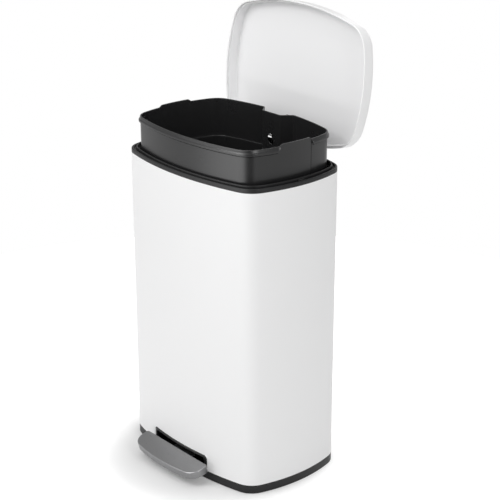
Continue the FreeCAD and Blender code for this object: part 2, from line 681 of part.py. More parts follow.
def pedal_lever():
    plate = new_body("lever_plate")
    side = sketch_on(plate, "lever_side", role="YZ_Plane", level="-lever_half")
    lever_profile(side)
    pad(plate, side, "2 * lever_half")
    cheeks = []
    for i, start in enumerate(("-lever_half", "lever_half - lever_wall")):
        cheek = new_body(f"lever_cheek_{i}")
        shape = sketch_on(cheek, f"cheek_side_{i}", role="YZ_Plane", level=start)
        polygon(shape, [
            (f"{PIVOT_Y} - 64", TONGUE_LOW),
            (f"{PIVOT_Y} - 60", TONGUE_LOW),
            (f"{PIVOT_Y}", "axle_level - 8"),
            (f"{LEVER_PIN_Y} - 4", f"{LEVER_Z} - 5.5"),
            (f"{LEVER_PIN_Y} + 5.5", f"{LEVER_Z} - 5.5"),
            (f"{LEVER_PIN_Y} + 5.5", f"{LEVER_Z} + 5.5"),
            (f"{LEVER_PIN_Y} - 6", f"{LEVER_Z} + 5.5"),
            (f"{PIVOT_Y}", "axle_level + 9"),
            (f"{PIVOT_Y} - 60", f"{TONGUE_LOW} + lever_wall + 1"),
            (f"{PIVOT_Y} - 64", f"{TONGUE_LOW} + lever_wall"),
        ])
        pad(cheek, shape, "lever_wall")
        cheeks.append(cheek)
    wide = "2 * lever_half + 2"
    axle = cylinder("lever_bore", "axle_radius + 1.55", wide, "-lever_half - 1", PIVOT_Y,
                    "axle_level", along="x")
    pin = cylinder("lever_pin_bore", "pin_radius + pin_clearance", wide, "-lever_half - 1",
                   LEVER_PIN_Y, LEVER_Z, along="x")
    holes = []
    for i, (x, y) in enumerate(RIVETS):
        hole = cylinder(f"lever_hole_{i}", "2 + hole_gap", "5", x, y, "-pedal_tall - 1")
        holes.append(slope_with_pad(group(f"lever_hole_place_{i}", [hole])))
    solid = fuse("lever_solid", plate, *cheeks)
    return node(cut("lever", solid, axle, pin, *holes), "pedal_lever")


def lever_bushes():
    """Flanged plastic bushes that fill the cheeks' bores and run on the axle."""
    bushes = []
    for i, start in enumerate(("-lever_half - 1.5", "lever_half - lever_wall")):
        sleeve = cylinder(f"bush_sleeve_{i}", "axle_radius + 1.45", "lever_wall + 1.5", start,
                          PIVOT_Y, "axle_level", along="x")
        collar_start = "-lever_half - 1.5" if i == 0 else "lever_half + 0.1"
        collar = cylinder(f"bush_collar_{i}", "axle_radius + 3.5", "1.4", collar_start, PIVOT_Y,
                          "axle_level", along="x")
        bore = cylinder(f"bush_bore_{i}", "axle_radius + pin_clearance", "lever_wall + 6",
                        f"{start} - 2", PIVOT_Y, "axle_level", along="x")
        bushes.append(cut(f"bush_{i}", fuse(f"bush_solid_{i}", sleeve, collar), bore))
    return node(group("bushes", bushes), "lever_bushes")


def lever_pin():
    shaft = cylinder("lever_pin_shaft", "pin_radius", "2 * lever_half + 3", "-lever_half - 1.5",
                     LEVER_PIN_Y, LEVER_Z, along="x")
    head = cylinder("lever_pin_head", "pin_radius + 1.5", "1.3", "-lever_half - 1.5", LEVER_PIN_Y,
                    LEVER_Z, along="x")
    return node(fuse("lever_pin_piece", shaft, head), "lever_pin")


# ---------------------------------------------------------------- push rod
FOOT_TOP = f"({LEVER_Z} + 14)"
YOKE_RISE = "(pin_radius + 1.6)"
YOKE_BAND = "3.5"


def slotted_plate(name, y, z, half, rise, low, high, band):
    """A plate across the rod's middle with a level slot for a pin."""
    start = across_mech("-plate_wall / 2")
    plate = box(name + "_plate", (start, f"{y} - {half} - {rise} - {band}", low),
                (across_mech("plate_wall / 2"), f"{y} + {half} + {rise} + {band}", high))
    slot = box(name + "_slot", (across_mech("-plate_wall"), f"{y} - {half}", f"{z} - {rise}"),
               (across_mech("plate_wall"), f"{y} + {half}", f"{z} + {rise}"))
    ends = [cylinder(f"{name}_end_{i}", rise, "2 * plate_wall", across_mech("-plate_wall"),
                     f"{y} + {side} * {half}", z, along="x") for i, side in enumerate((-1, 1))]
    return cut(name, plate, fuse(name + "_opening", slot, *ends))


def rod_foot():
    rise = "(pin_radius + 0.3)"
    return node(slotted_plate("foot_piece", ROD_Y, LEVER_Z, "1", rise, f"{LEVER_Z} - 6.3", FOOT_TOP,
                              "2.7"), "rod_foot")


def rod_yoke():
    low, high = (f"{YOKE_Z} {sign} ({YOKE_RISE} + {YOKE_BAND})" for sign in "-+")
    return node(slotted_plate("yoke_piece", ROD_Y, YOKE_Z, YOKE_HALF, YOKE_RISE, low, high,
                              YOKE_BAND), "rod_yoke")


def push_rod():
    low = FOOT_TOP
    high = f"{YOKE_Z} - {YOKE_RISE} - {YOKE_BAND}"
    return node(cylinder("rod_shaft", "rod_radius", f"{high} - ({low})", "mech_x", ROD_Y, low),
                "push_rod")


COVER_FRONT = f"({ROD_Y} - 9.6)"
COVER_BACK = f"({SKIRT_FACE} - 0.9)"
COVER_LOW = f"({LEVER_Z} + 12.6)"
COVER_HIGH = "(shell_top - 44)"
COVER_FIXINGS = [(across_mech(f"{side} * 25"), z)
                 for side in (-1, 1) for z in (f"{COVER_LOW} + 40", f"{COVER_HIGH} - 64")]


def rod_cover():
    def upright(name, inner, outer, front, back):
        return box(name, (across_mech(inner), front, COVER_LOW), (across_mech(outer), back, COVER_HIGH))
    walls = [
        upright("cover_front", "-18", "18", COVER_FRONT, f"{COVER_FRONT} + 2"),
        upright("cover_left", "-18", "-16", COVER_FRONT, COVER_BACK),
        upright("cover_right", "16", "18", COVER_FRONT, COVER_BACK),
        upright("cover_flange_left", "-31", "-16", f"{COVER_BACK} - 2", COVER_BACK),
        upright("cover_flange_right", "16", "31", f"{COVER_BACK} - 2", COVER_BACK),
    ]
    holes = [cylinder(f"cover_hole_{i}", "screw_radius + hole_gap", "6", x, f"{COVER_BACK} - 4", z,
                      along="y") for i, (x, z) in enumerate(COVER_FIXINGS)]
    return node(cut("cover_piece", fuse("cover_walls", *walls), *holes), "rod_cover")


def cover_screws():
    """Weld studs on the shell's back with their nuts on the cover's flanges."""
    studs = []
    for i, (x, z) in enumerate(COVER_FIXINGS):
        reach = "(front_bow - shell_wall)"
        edge = f"(abs({x}) + screw_head)"
        shell_face = f"(sqrt({reach} * {reach} - {edge} * {edge}) - front_bow + depth / 2 - 0.05)"
        shank = cylinder(f"stud_shank_{i}", "screw_radius", f"{shell_face} - {COVER_BACK} + 5", x,
                         f"{COVER_BACK} - 5", z, along="y")
        nut = cylinder(f"stud_nut_{i}", "screw_head", "2.4", x, f"{COVER_BACK} - 4.4", z, along="y")
        foot = cylinder(f"stud_foot_{i}", "screw_head", f"{shell_face} - {COVER_BACK}", x,
                        COVER_BACK, z, along="y")
        studs.append(fuse(f"stud_{i}", shank, nut, foot))
    return node(group("studs", studs), "cover_screws")


def rod_guides():
    guides = []
    for i, level in enumerate((f"{COVER_LOW} + 60", f"{COVER_HIGH} - 60")):
        block = box(f"guide_block_{i}", (across_mech("-15.9"), f"{COVER_FRONT} + 2.1", level),
                    (across_mech("15.9"), f"{ROD_Y} + 8", f"{level} + 8"))
        bore = cylinder(f"guide_bore_{i}", "rod_radius + guide_clearance", "12", "mech_x", ROD_Y,
                        f"{level} - 2")
        guides.append(cut(f"guide_{i}", block, bore))
    return node(group("guides", guides), "rod_guides")


# ---------------------------------------------------------------- hinge
EAR_IN = "(arm_half + ear_gap)"
EAR_OUT = f"({EAR_IN} + ear_wall)"
PLATE_BACK = SKIRT_FACE
HINGE_LOW = "(shell_top - 40)"
HINGE_SCREWS = [(across_mech(side), "shell_top - 9") for side in ("-13", "13")]


def hinge_bracket():
    plate = box("hinge_plate", (across_mech(f"-{EAR_OUT}"), f"{PLATE_BACK} - 3", HINGE_LOW),
                (across_mech(EAR_OUT), PLATE_BACK, "shell_top - 2"))
    pieces = [plate]
    for i, start in enumerate((f"-{EAR_OUT}", EAR_IN)):
        ear = box(f"ear_leg_{i}", (across_mech(start), f"{PLATE_BACK} - 8", HINGE_LOW),
                  (across_mech(f"{start} + ear_wall"), PLATE_BACK, HINGE_Z))
        head = cylinder(f"ear_head_{i}", "barrel_radius", "ear_wall", across_mech(start), HINGE_Y,
                        HINGE_Z, along="x")
        pieces += [ear, head]
    bore = cylinder("ear_bore", "pin_radius + pin_clearance", f"2 * {EAR_OUT} + 2",
                    across_mech(f"-{EAR_OUT} - 1"), HINGE_Y, HINGE_Z, along="x")
    holes = [cylinder(f"hinge_hole_{i}", "screw_radius + hole_gap", "6", x, f"{PLATE_BACK} - 4", z,
                      along="y") for i, (x, z) in enumerate(HINGE_SCREWS)]
    return node(cut("hinge_piece", fuse("hinge_solid", *pieces), bore, *holes), "hinge_bracket")


def hinge_pin():
    end = f"({EAR_OUT} + 1.7)"
    shaft = cylinder("hinge_shaft", "pin_radius", f"2 * {end}", across_mech(f"-{end}"), HINGE_Y,
                     HINGE_Z, along="x")
    head = cylinder("hinge_head", "pin_radius + 1.5", "1.5", across_mech(f"-{end}"), HINGE_Y,
                    HINGE_Z, along="x")
    return node(fuse("hinge_pin_piece", shaft, head), "hinge_pin")


def hinge_screws():
    screws = []
    for i, (x, z) in enumerate(HINGE_SCREWS):
        start = f"{PLATE_BACK} - 3"
        shank = cylinder(f"hinge_shank_{i}", "screw_radius", "3 + moulding_wall - 0.6", x, start, z,
                         along="y")
        head = cylinder(f"hinge_screw_{i}", "screw_head", "head_tall", x, f"{start} - head_tall", z,
                        along="y")
        screws.append(fuse(f"hinge_fixing_{i}", shank, head))
    return node(group("hinge_fixings", screws), "hinge_screws")


# ---------------------------------------------------------------- lid, about its hinge axis
LID_SCREWS = [(across_mech(x), y) for x in ("-13", "13") for y in ("-22", "-40")]


def lid_notch(name, top):
    """The gap in the lid's back edge that the hinge turns in."""
    half = f"({EAR_OUT} + 3)"
    return box(name, (across_mech(f"-{half}"), "-8", f"{LIP} - 5"), (across_mech(half), "5", top))


def rounded_slab(name, inset, low, high, shoulder):
    """A solid plate of the lid's plan with a round shoulder along its top."""
    body = new_body(name)
    slab(body, name + "_plan", LID, inset, low, high, back=f"-{HINGE_Y}")
    round_edges(body, shoulder, at_level(high))
    return body


def lid_cup(name, inset, wall, low, high, shoulder):
    """A dish of the lid's plan, open below, with a round shoulder inside and out."""
    outside = rounded_slab(name, inset, low, high, shoulder)
    hollow = rounded_slab(name + "_hollow", f"{inset} + {wall}", f"{low} - 2", f"{high} - {wall}",
                          f"{shoulder} - {wall}")
    return cut(name + "_dish", outside, hollow)


def lid_shell():
    cup = lid_cup("lid_cup", "0", "lid_wall", LIP, f"({LIP} + lid_tall)", "lid_shoulder")
    holes = [cylinder(f"lid_hole_{i}", "screw_radius + hole_gap", "lid_wall - 0.5", x, y,
                      f"{LIP} + lid_tall - lid_wall - 0.1") for i, (x, y) in enumerate(LID_SCREWS)]
    return node(open_with_lid(cut("lid_piece", cup, lid_notch("lid_gap", "8"), *holes)), "lid_shell")


LINER_TOP = f"({LIP} + lid_tall - lid_wall - liner_top_gap)"
LINER_BACK = "(hinge_inset - lid_end_margin - lid_wall - liner_gap - liner_wall)"


def lid_liner():
    cup = lid_cup("liner_cup", "(lid_wall + liner_gap)", "liner_wall", f"({LIP} + liner_lip)",
                  LINER_TOP, "(lid_shoulder - lid_wall - liner_gap)")
    holes = [cylinder(f"liner_hole_{i}", "screw_radius + hole_gap", "liner_wall + 2", x, y,
                      f"{LINER_TOP} - liner_wall - 1") for i, (x, y) in enumerate(LID_SCREWS)]
    return node(open_with_lid(cut("liner_piece", cup, lid_notch("liner_gap_box", "9"), *holes)),
                "lid_liner")


def lid_arm():
    """Barrel on the hinge pin, a riser to the foot plate under the dish, and two crank cheeks."""
    barrel = cylinder("arm_barrel", "barrel_radius", "2 * arm_half", across_mech("-arm_half"), "0",
                      "0", along="x")
    body = new_body("arm_plate")
    side = sketch_on(body, "arm_side", role="YZ_Plane", level=across_mech("-arm_half"))
    top = f"{LINER_TOP} - liner_wall - 0.3"
    polygon(side, [
        (f"{LINER_BACK} - 4", "-3"), ("0", "-3"), ("0", "3"), (f"{LINER_BACK} - 1", "3"),
        (f"{LINER_BACK} - 1", f"{top} - 9"), (f"{LINER_BACK} - 9.3", top), ("-46", top),
        ("-46", f"{top} - 3"), (f"{LINER_BACK} - 10.8", f"{top} - 3"),
        (f"{LINER_BACK} - 4", f"{top} - 9.5"),
    ])
    pad(body, side, "2 * arm_half")
    cheeks = []
    for i, start in enumerate(("-cheek_inner - cheek_wall", "cheek_inner")):
        cheeks.append(crank_cheek(i, across_mech(start)))
    bore = cylinder("arm_bore", "pin_radius + pin_clearance", "2 * arm_half + 2",
                    across_mech("-arm_half - 1"), "0", "0", along="x")
    pin = cylinder("arm_pin_bore", "pin_radius + pin_clearance", "40", across_mech("-20"),
                   "-crank_radius * cos(open_angle / 2)", "-crank_radius * sin(open_angle / 2)",
                   along="x")
    holes = [cylinder(f"arm_hole_{i}", "screw_radius + hole_gap", "6", x, y, f"{top} - 4")
             for i, (x, y) in enumerate(LID_SCREWS)]
    yoke_gap = box("arm_yoke_gap", (across_mech("-cheek_inner + 0.4"), "-14", "-4"),
                   (across_mech("cheek_inner - 0.4"), "-barrel_radius - 0.1", "2"))
    solid = fuse("arm_solid", barrel, body, *cheeks)
    return node(open_with_lid(cut("arm_piece", solid, bore, pin, yoke_gap, *holes)), "lid_arm")


def crank_cheek(i, start):
    """A flat link from the hinge axis to the crank pin."""
    y, z = "-crank_radius * cos(open_angle / 2)", "-crank_radius * sin(open_angle / 2)"
    link = doc.addObject("Part::Box", f"cheek_link_{i}")
    drive(link, "Length", "cheek_wall")
    drive(link, "Width", "crank_radius")
    drive(link, "Height", "2 * barrel_radius")
    turn = "open_angle / 2 - 180"
    link.Placement = FreeCAD.Placement(
        FreeCAD.Vector(), FreeCAD.Rotation(FreeCAD.Vector(1, 0, 0), value(turn)))
    drive(link, "Placement.Rotation.Angle", turn)
    place(link, start, "-barrel_radius * sin(open_angle / 2)", "barrel_radius * cos(open_angle / 2)")
    root = cylinder(f"cheek_root_{i}", "barrel_radius", "cheek_wall", start, "0", "0", along="x")
    tip = cylinder(f"cheek_tip_{i}", "barrel_radius", "cheek_wall", start, y, z, along="x")
    return fuse(f"cheek_{i}", link, root, tip)


def crank_pin():
    half = "(cheek_inner + cheek_wall + 2)"
    y, z = "-crank_radius * cos(open_angle / 2)", "-crank_radius * sin(open_angle / 2)"
    shaft = cylinder("crank_shaft", "pin_radius", f"2 * {half}", across_mech(f"-{half}"), y, z,
                     along="x")
    heads = [cylinder(f"crank_head_{i}", "pin_radius + 1.4", "1.5", across_mech(x), y, z, along="x")
             for i, x in enumerate((f"-{half}", f"{half} - 1.5"))]
    return node(open_with_lid(fuse("crank_pin_piece", shaft, *heads)), "crank_pin")


def lid_arm_screws():
    screws = []
    low = f"({LINER_TOP} - liner_wall - 3.3)"
    high = f"({LIP} + lid_tall - 0.9)"
    for i, (x, y) in enumerate(LID_SCREWS):
        shank = cylinder(f"arm_shank_{i}", "screw_radius", f"{high} - {low}", x, y, low)
        head = cylinder(f"arm_screw_{i}", "screw_head", "head_tall", x, y, f"{low} - head_tall")
        screws.append(fuse(f"arm_fixing_{i}", shank, head))
    return node(open_with_lid(group("arm_fixings", screws)), "lid_arm_screws")


# ---------------------------------------------------------------- inner bucket
def drafted(name, inset, top, length, draft="bucket_draft"):
    """A solid of the bucket's plan that narrows downwards."""
    body = new_body(name)
    sketch = sketch_on(body, name + "_plan", level=top)
    outline(sketch, BUCKET, inset)
    pad(body, sketch, length, back=True, taper=f"-{draft}")
    return body


def channel_prism(name, offset, low, high):
    """The bucket's back groove as a solid, seen from above a trapezium, grown by an offset."""
    body = new_body(name)
    face = f"{BUCKET_BACK} - {CHANNEL_DEEP} - {offset}"
    flare = f"((channel_mouth - channel_floor) / {CHANNEL_DEEP})"
    beyond = "30"
    sketch = sketch_on(body, name + "_plan", level=low)
    near = f"channel_floor + {offset} * (sqrt(1 + {flare} * {flare}) - {flare})"
    far = f"{near} + {flare} * ({CHANNEL_DEEP} + {offset} + {beyond})"
    rear = f"{BUCKET_BACK} + {beyond}"
    polygon(sketch, [
        (across_mech(f"-({near})"), face), (across_mech(near), face),
        (across_mech(far), rear), (across_mech(f"-({far})"), rear),
    ])
    pad(body, sketch, f"{high} - ({low})")
    return body


def is_outer(edge):
    """Is an edge of the bead on its outer side, by the arcs' distance from the middle?"""
    middle = edge.valueAt((edge.FirstParameter + edge.LastParameter) / 2)
    half_x = value("width / 2 - bucket_side_margin")
    half_y = value("depth / 2 - bucket_end_margin")
    return abs(middle.x) > half_x or abs(middle.y) > half_y or (
        value("bucket_corner") < edge.Curve.Radius < value("bucket_corner + 9"))


def inner_bucket():
    cup = drafted("bucket_solid", "0", BUCKET_TOP, BUCKET_TALL)
    round_edges(cup, "12", at_level("bucket_bottom"))
    middle = box("bucket_middle", ("-width", "-tab_half", "bucket_bottom + 20"),
                 ("width", "tab_half", f"{BUCKET_TOP} + tab_rise"))
    panel = common("bucket_panels", drafted("bucket_panel_solid", "-panel_out", BUCKET_TOP,
                                            f"{BUCKET_TALL} - 10"), middle)
    tabs = new_body("bucket_tab_solid")
    slab(tabs, "bucket_tab_plan", BUCKET, "-panel_out", f"{BUCKET_TOP} - 1", f"{BUCKET_TOP} + tab_rise")
    tab = common("bucket_tabs", tabs, middle)
    bead = new_body("bucket_bead")
    ring(bead, "bucket_bead_plan", BUCKET, "-bead_out", "1", f"{BUCKET_TOP} - bead_low",
         f"{BUCKET_TOP} - bead_high")
    round_edges(bead, "1.6", lambda edge: edge.BoundBox.ZLength < 0.01 and is_outer(edge))
    break_at = box("bead_break", ("-width", "-tab_half - 1", f"{BUCKET_TOP} - 20"),
                   ("width", "tab_half + 1", BUCKET_TOP))
    beads = cut("bucket_beads", bead, break_at)
    solid = fuse("bucket_outside", cup, panel, tab, beads)
    upper = drafted("bucket_upper", "bucket_wall", f"{BUCKET_TOP} + 10", "step_down + 10")
    lower = drafted("bucket_lower", "bucket_wall + step_in", f"{BUCKET_TOP} - step_down + 1",
                    f"{BUCKET_TALL} - step_down - 2")
    round_edges(lower, "10", at_level("bucket_bottom + 3"))
    hollow = cut("bucket_hollow", solid, upper, lower)
    skin = common("channel_skin", channel_prism("channel_outside", "bucket_wall", "bucket_bottom + 1",
                                                BUCKET_TOP),
                  drafted("bucket_limit", "0.2", BUCKET_TOP, BUCKET_TALL))
    groove = channel_prism("channel_space", "0", "bucket_bottom - 5", f"{BUCKET_TOP} + 10")
    hole = cylinder("bag_hole", "bag_hole_radius", "12", "mech_x",
                    f"{BUCKET_BACK} - {CHANNEL_DEEP} - 8", f"{BUCKET_TOP} - bag_hole_down", along="y")
    walls = fuse("bucket_walls", hollow, skin)
    return node(cut("bucket_piece", walls, groove, hole), "inner_bucket")


# ---------------------------------------------------------------- build, check and write
for make in (
    outer_shell, base_tray, pedal_surround, rubber_feet, top_rim, rim_bumpers,
    axle_brackets, bracket_screws, pedal_axle, axle_clip, pedal_stop,
    rod_cover, rod_guides, cover_screws, hinge_bracket, hinge_pin, hinge_screws,
    lid_shell, lid_liner, lid_arm, crank_pin, lid_arm_screws,
    pedal_pad, pedal_core, pedal_rivets, pedal_lever, lever_bushes, lever_pin,
    push_rod, rod_foot, rod_yoke, inner_bucket,
):
    make()
doc.recompute()

for thing in doc.Objects:
    if "Invalid" in thing.State or "Error" in thing.State:
        raise RuntimeError(f"{thing.Name} failed: {thing.State}")
for thing in NODES:
    if thing.Shape.isNull() or not thing.Shape.isValid() or not thing.Shape.Solids:
        raise RuntimeError(f"{thing.Label} has no valid solid")

os.makedirs("parts", exist_ok=True)
for thing in NODES:
    thing.Shape.exportStep(f"parts/{thing.Label}.step")
    bounds = thing.Shape.BoundBox
    print(f"{thing.Label}: {len(thing.Shape.Solids)} solids, {thing.Shape.Volume / 1000:.1f} cm3,"
          f" z {bounds.ZMin:.1f} to {bounds.ZMax:.1f}, y {bounds.YMin:.1f} to {bounds.YMax:.1f}")
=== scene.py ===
import json
import math

import bmesh
import bpy
import numpy as np
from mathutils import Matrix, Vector


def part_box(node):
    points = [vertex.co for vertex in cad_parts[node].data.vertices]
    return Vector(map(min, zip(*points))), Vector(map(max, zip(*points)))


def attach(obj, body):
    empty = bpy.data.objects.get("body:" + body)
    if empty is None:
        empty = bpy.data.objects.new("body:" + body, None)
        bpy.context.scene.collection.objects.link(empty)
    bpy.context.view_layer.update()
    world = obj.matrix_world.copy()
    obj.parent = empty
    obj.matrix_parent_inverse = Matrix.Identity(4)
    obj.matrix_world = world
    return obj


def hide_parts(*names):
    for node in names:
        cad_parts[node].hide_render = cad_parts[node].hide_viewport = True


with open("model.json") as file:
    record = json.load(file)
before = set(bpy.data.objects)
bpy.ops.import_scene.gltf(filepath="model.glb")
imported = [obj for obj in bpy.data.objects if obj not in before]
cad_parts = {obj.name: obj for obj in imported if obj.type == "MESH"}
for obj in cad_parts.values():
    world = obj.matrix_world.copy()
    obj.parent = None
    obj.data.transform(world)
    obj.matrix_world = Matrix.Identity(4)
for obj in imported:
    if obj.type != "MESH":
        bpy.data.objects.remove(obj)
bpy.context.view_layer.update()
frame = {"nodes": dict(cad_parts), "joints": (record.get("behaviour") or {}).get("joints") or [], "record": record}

# The step bin's visible pieces as surfaces. Lengths are millimetres until a mesh is made, +Z is up,
# the front faces -Y and +X is the bin's right side.
MM = 0.001
SAME_PLACE = 1e-6      # metres: points nearer than this are one point


def node_box(node):
    """Lowest and highest corner of a CAD node, in millimetres."""
    low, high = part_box(node)
    return np.array(low) / MM, np.array(high) / MM


SHELL_LOW, SHELL_HIGH = node_box("outer_shell")
RIM_LOW, RIM_HIGH = node_box("top_rim")
TRAY_LOW, TRAY_HIGH = node_box("base_tray")
BUCKET_LOW, BUCKET_HIGH = node_box("inner_bucket")
FRAME_LOW, FRAME_HIGH = node_box("pedal_surround")
FOOT_LOW, FOOT_HIGH = node_box("rubber_feet")
FOOT_RADIUS = 10.0
JOINTS = {joint["name"]: joint for joint in frame["joints"]}

WIDTH, DEPTH = 397.0, 273.5
FRONT_BOW, SIDE_BOW, BODY_CORNER = 614.0, 308.5, 43.0
LID_WIDTH, LID_DEPTH = WIDTH - 9.8, DEPTH - 4.3
LID_FRONT_BOW, LID_SIDE_BOW, LID_CORNER = 571.0, 317.0, 51.0
BUCKET_WIDTH, BUCKET_DEPTH = WIDTH - 42.4, DEPTH - 24.3
BUCKET_FRONT_BOW, BUCKET_SIDE_BOW, BUCKET_CORNER = 546.0, 294.0, 38.5
SHELL_WALL = 0.8
SHELL_TOP = SHELL_HIGH[2]
RING_TOP = SHELL_LOW[2]
BUCKET_TAB_RISE = 4.0
BUCKET_TOP = BUCKET_HIGH[2] - BUCKET_TAB_RISE
BUCKET_BOTTOM = BUCKET_LOW[2]
MECH_X = -6.0
# Insets from the body's outline of the wall that stands inside the shell.
SKIRT_OUT, SKIRT_IN = 0.95, 3.45

HINGE = np.array(JOINTS["lid_hinge"]["pos_m"]) / MM
LID_OPEN = math.radians(JOINTS["lid_hinge"]["range_deg"][1])
# The closed lid: level of its lip, height above it, wall, and half of the notch round the hinge.
LIP = SHELL_TOP + 9.5
LID_TALL = 29.0
LID_WALL = 2.6
NOTCH_HALF = 25.5

# The pedal's pad: its back edge, that edge's level, slope when pressed, half width, reach to the
# front, height of its skirt, and half of the gap in the back skirt where the lever comes in.
PAD_BACK = -DEPTH / 2 - 7.45
PAD_LEVEL = 42.0
PAD_SLOPE = math.radians(14.6)
PAD_HALF = 95.0
PAD_REACH = 45.8
PAD_TALL = 15.5
SLOT_HALF = 28.4

# Columns stand at the same x in every plan out to FINE_HALF, and finely along y out to SIDE_FINE.
FINE_HALF = 92.0
SIDE_FINE = 44.0
TAB_HALF = 36.5


# ---------------------------------------------------------------- plans
class Plan:
    """A closed outline seen from above: base points and outward normals, in step with each other.

    A point of the outline moved inwards by t is base - t * normal. Arcs keep their centre and their
    angle, so every inset has the same number of columns and none of them crosses another."""

    def __init__(self, base, normal):
        """Keep the two arrays, one row per column of the outline."""
        self.base = base
        self.normal = normal

    def at(self, inset):
        """The outline moved inwards; inset is a number or one value per column."""
        return self.base - np.asarray(inset, float).reshape(-1, 1) * self.normal


def arc_points(centre, radius, angles):
    """Points of an arc and their outward normals."""
    out = np.stack([np.cos(angles), np.sin(angles)], 1)
    return np.asarray(centre) + radius * out, out


def joined(arcs):
    """One plan from arcs that follow each other."""
    bases, normals = zip(*(arc_points(*arc) for arc in arcs))
    return Plan(np.concatenate(bases), np.concatenate(normals))


def corner_centre(long_centre, long_radius, side_centre, side_radius, corner):
    """Centre of the corner arc that touches the front arc and the side arc from inside."""
    r0, r1 = long_radius - corner, side_radius - corner
    step = side_centre - long_centre
    gap = np.hypot(*step)
    along = (gap * gap + r0 * r0 - r1 * r1) / (2 * gap)
    off = math.sqrt(r0 * r0 - along * along)
    across = np.array([step[1], -step[0]]) / gap
    ends = [long_centre + step / gap * along + sign * off * across for sign in (1, -1)]
    return max(ends, key=lambda p: p[0])


def spread(end, fine, marks, near, far):
    """Places from -end to end: an even run inside +-fine with the marks added, and far runs outside."""
    inner = np.concatenate([np.linspace(-fine, fine, near), marks])
    outer = np.linspace(fine, end, far + 1)[1:]
    return np.unique(np.round(np.concatenate([-outer, inner, outer]), 4))


def bowed_plan(width, depth, long_bow, side_bow, corner, front=(), back=(), side=()):
    """A rectangle of four bowed arcs joined by four corner arcs, sampled anticlockwise from above.

    On the long arcs a column is placed by its x, on the side arcs by its y, and on the corners by
    even steps of angle; front, back and side list extra places that cuts and steps need."""
    long_centre = np.array([0.0, long_bow - depth / 2])
    side_centre = np.array([width / 2 - side_bow, 0.0])
    cx, cy = corner_centre(long_centre, long_bow, side_centre, side_bow, corner)
    on_long = math.atan2(cy - long_centre[1], cx - long_centre[0])
    on_side = math.atan2(cy - side_centre[1], cx - side_centre[0])
    end_x = long_bow * math.cos(on_long)
    end_y = side_bow * math.sin(-on_side)
    front_x = spread(end_x, FINE_HALF, front, 37, 14)
    back_x = spread(end_x, FINE_HALF, back, 37, 14)
    side_y = spread(end_y, SIDE_FINE, side, 23, 16)
    bend = (on_side - on_long) * np.linspace(0, 1, 18)[1:-1]
    return joined([
        (long_centre, long_bow, -np.arccos(front_x / long_bow)),
        ((cx, cy), corner, on_long + bend),
        (side_centre, side_bow, np.arcsin(side_y / side_bow)),
        ((cx, -cy), corner, -on_side + bend),
        ((0.0, -long_centre[1]), long_bow, np.arccos(back_x[::-1] / long_bow)),
        ((-cx, -cy), corner, math.pi + on_long + bend),
        ((-side_centre[0], 0.0), side_bow, math.pi - np.arcsin(side_y[::-1] / side_bow)),
        ((-cx, cy), corner, math.pi - on_side + bend)])


def filleted(points, radii, steps):
    """A run of straight lines with its inner corners rounded to the given radii."""
    points = [np.asarray(p, float) for p in points]
    run = [points[0]]
    for before, here, after, radius in zip(points, points[1:], points[2:], radii):
        if radius <= 0:
            run.append(here)
            continue
        one = (before - here) / np.linalg.norm(before - here)
        two = (after - here) / np.linalg.norm(after - here)
        half = math.acos(np.clip(one @ two, -1, 1)) / 2
        reach = radius / math.tan(half)
        middle = (one + two) / np.linalg.norm(one + two)
        centre = here + middle * radius / math.sin(half)
        start = here + one * reach - centre
        end = here + two * reach - centre
        turn = math.pi - 2 * half
        for t in np.linspace(0, 1, steps + 1):
            run.append(centre + (math.sin((1 - t) * turn) * start + math.sin(t * turn) * end)
                       / math.sin(turn))
    run.append(points[-1])
    return np.array(run)


# ---------------------------------------------------------------- meshes
def grid_faces(columns, rows, close_columns=True, close_rows=True):
    """Quads between neighbouring columns and rows, which may close on themselves."""
    i = np.arange(columns if close_columns else columns - 1)
    j = np.arange(rows if close_rows else rows - 1)
    a, b = np.meshgrid(i, j, indexing="ij")
    here = a * rows + b
    right = (a + 1) % columns * rows + b
    up = a * rows + (b + 1) % rows
    both = (a + 1) % columns * rows + (b + 1) % rows
    return np.stack([here, right, both, up], -1).reshape(-1, 4)


def tidy(mesh, sharp):
    """Merge what coincides, drop what has no area, face outwards, and keep edges over sharp crisp."""
    shape = bmesh.new()
    shape.from_mesh(mesh)
    bmesh.ops.remove_doubles(shape, verts=shape.verts, dist=SAME_PLACE)
    bmesh.ops.dissolve_degenerate(shape, edges=shape.edges, dist=SAME_PLACE)
    bmesh.ops.recalc_face_normals(shape, faces=shape.faces)
    if shape.calc_volume(signed=True) < 0:
        bmesh.ops.reverse_faces(shape, faces=shape.faces)
    shape.to_mesh(mesh)
    shape.free()
    mesh.shade_smooth()
    mesh.set_sharp_from_angle(angle=math.radians(sharp))


def piece(name, points, faces, body, slot, stands_for, sharp=32):
    """Make a finished piece from points in millimetres and faces, and say what it is to the frame."""
    mesh = bpy.data.meshes.new(name)
    mesh.from_pydata((np.asarray(points) * MM).tolist(), [], faces)
    tidy(mesh, sharp)
    thing = bpy.data.objects.new(name, mesh)
    bpy.context.scene.collection.objects.link(thing)
    mesh.materials.append(FINISH[slot])
    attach(thing, body)
    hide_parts(stands_for)


def stacked(rows):
    """Points of a swept section: rows of (plan, inset, height), each number or one per column."""
    columns = len(rows[0][0].base)
    points = np.empty((columns, len(rows), 3))
    for k, (plan, inset, height) in enumerate(rows):
        points[:, k, :2] = plan.at(np.broadcast_to(inset, (columns,)))
        points[:, k, 2] = height
    return points


def from_section(section, plan):
    """Rows of one plan from a section given as (inset, height) pairs."""
    return [(plan, inset, height) for inset, height in section]


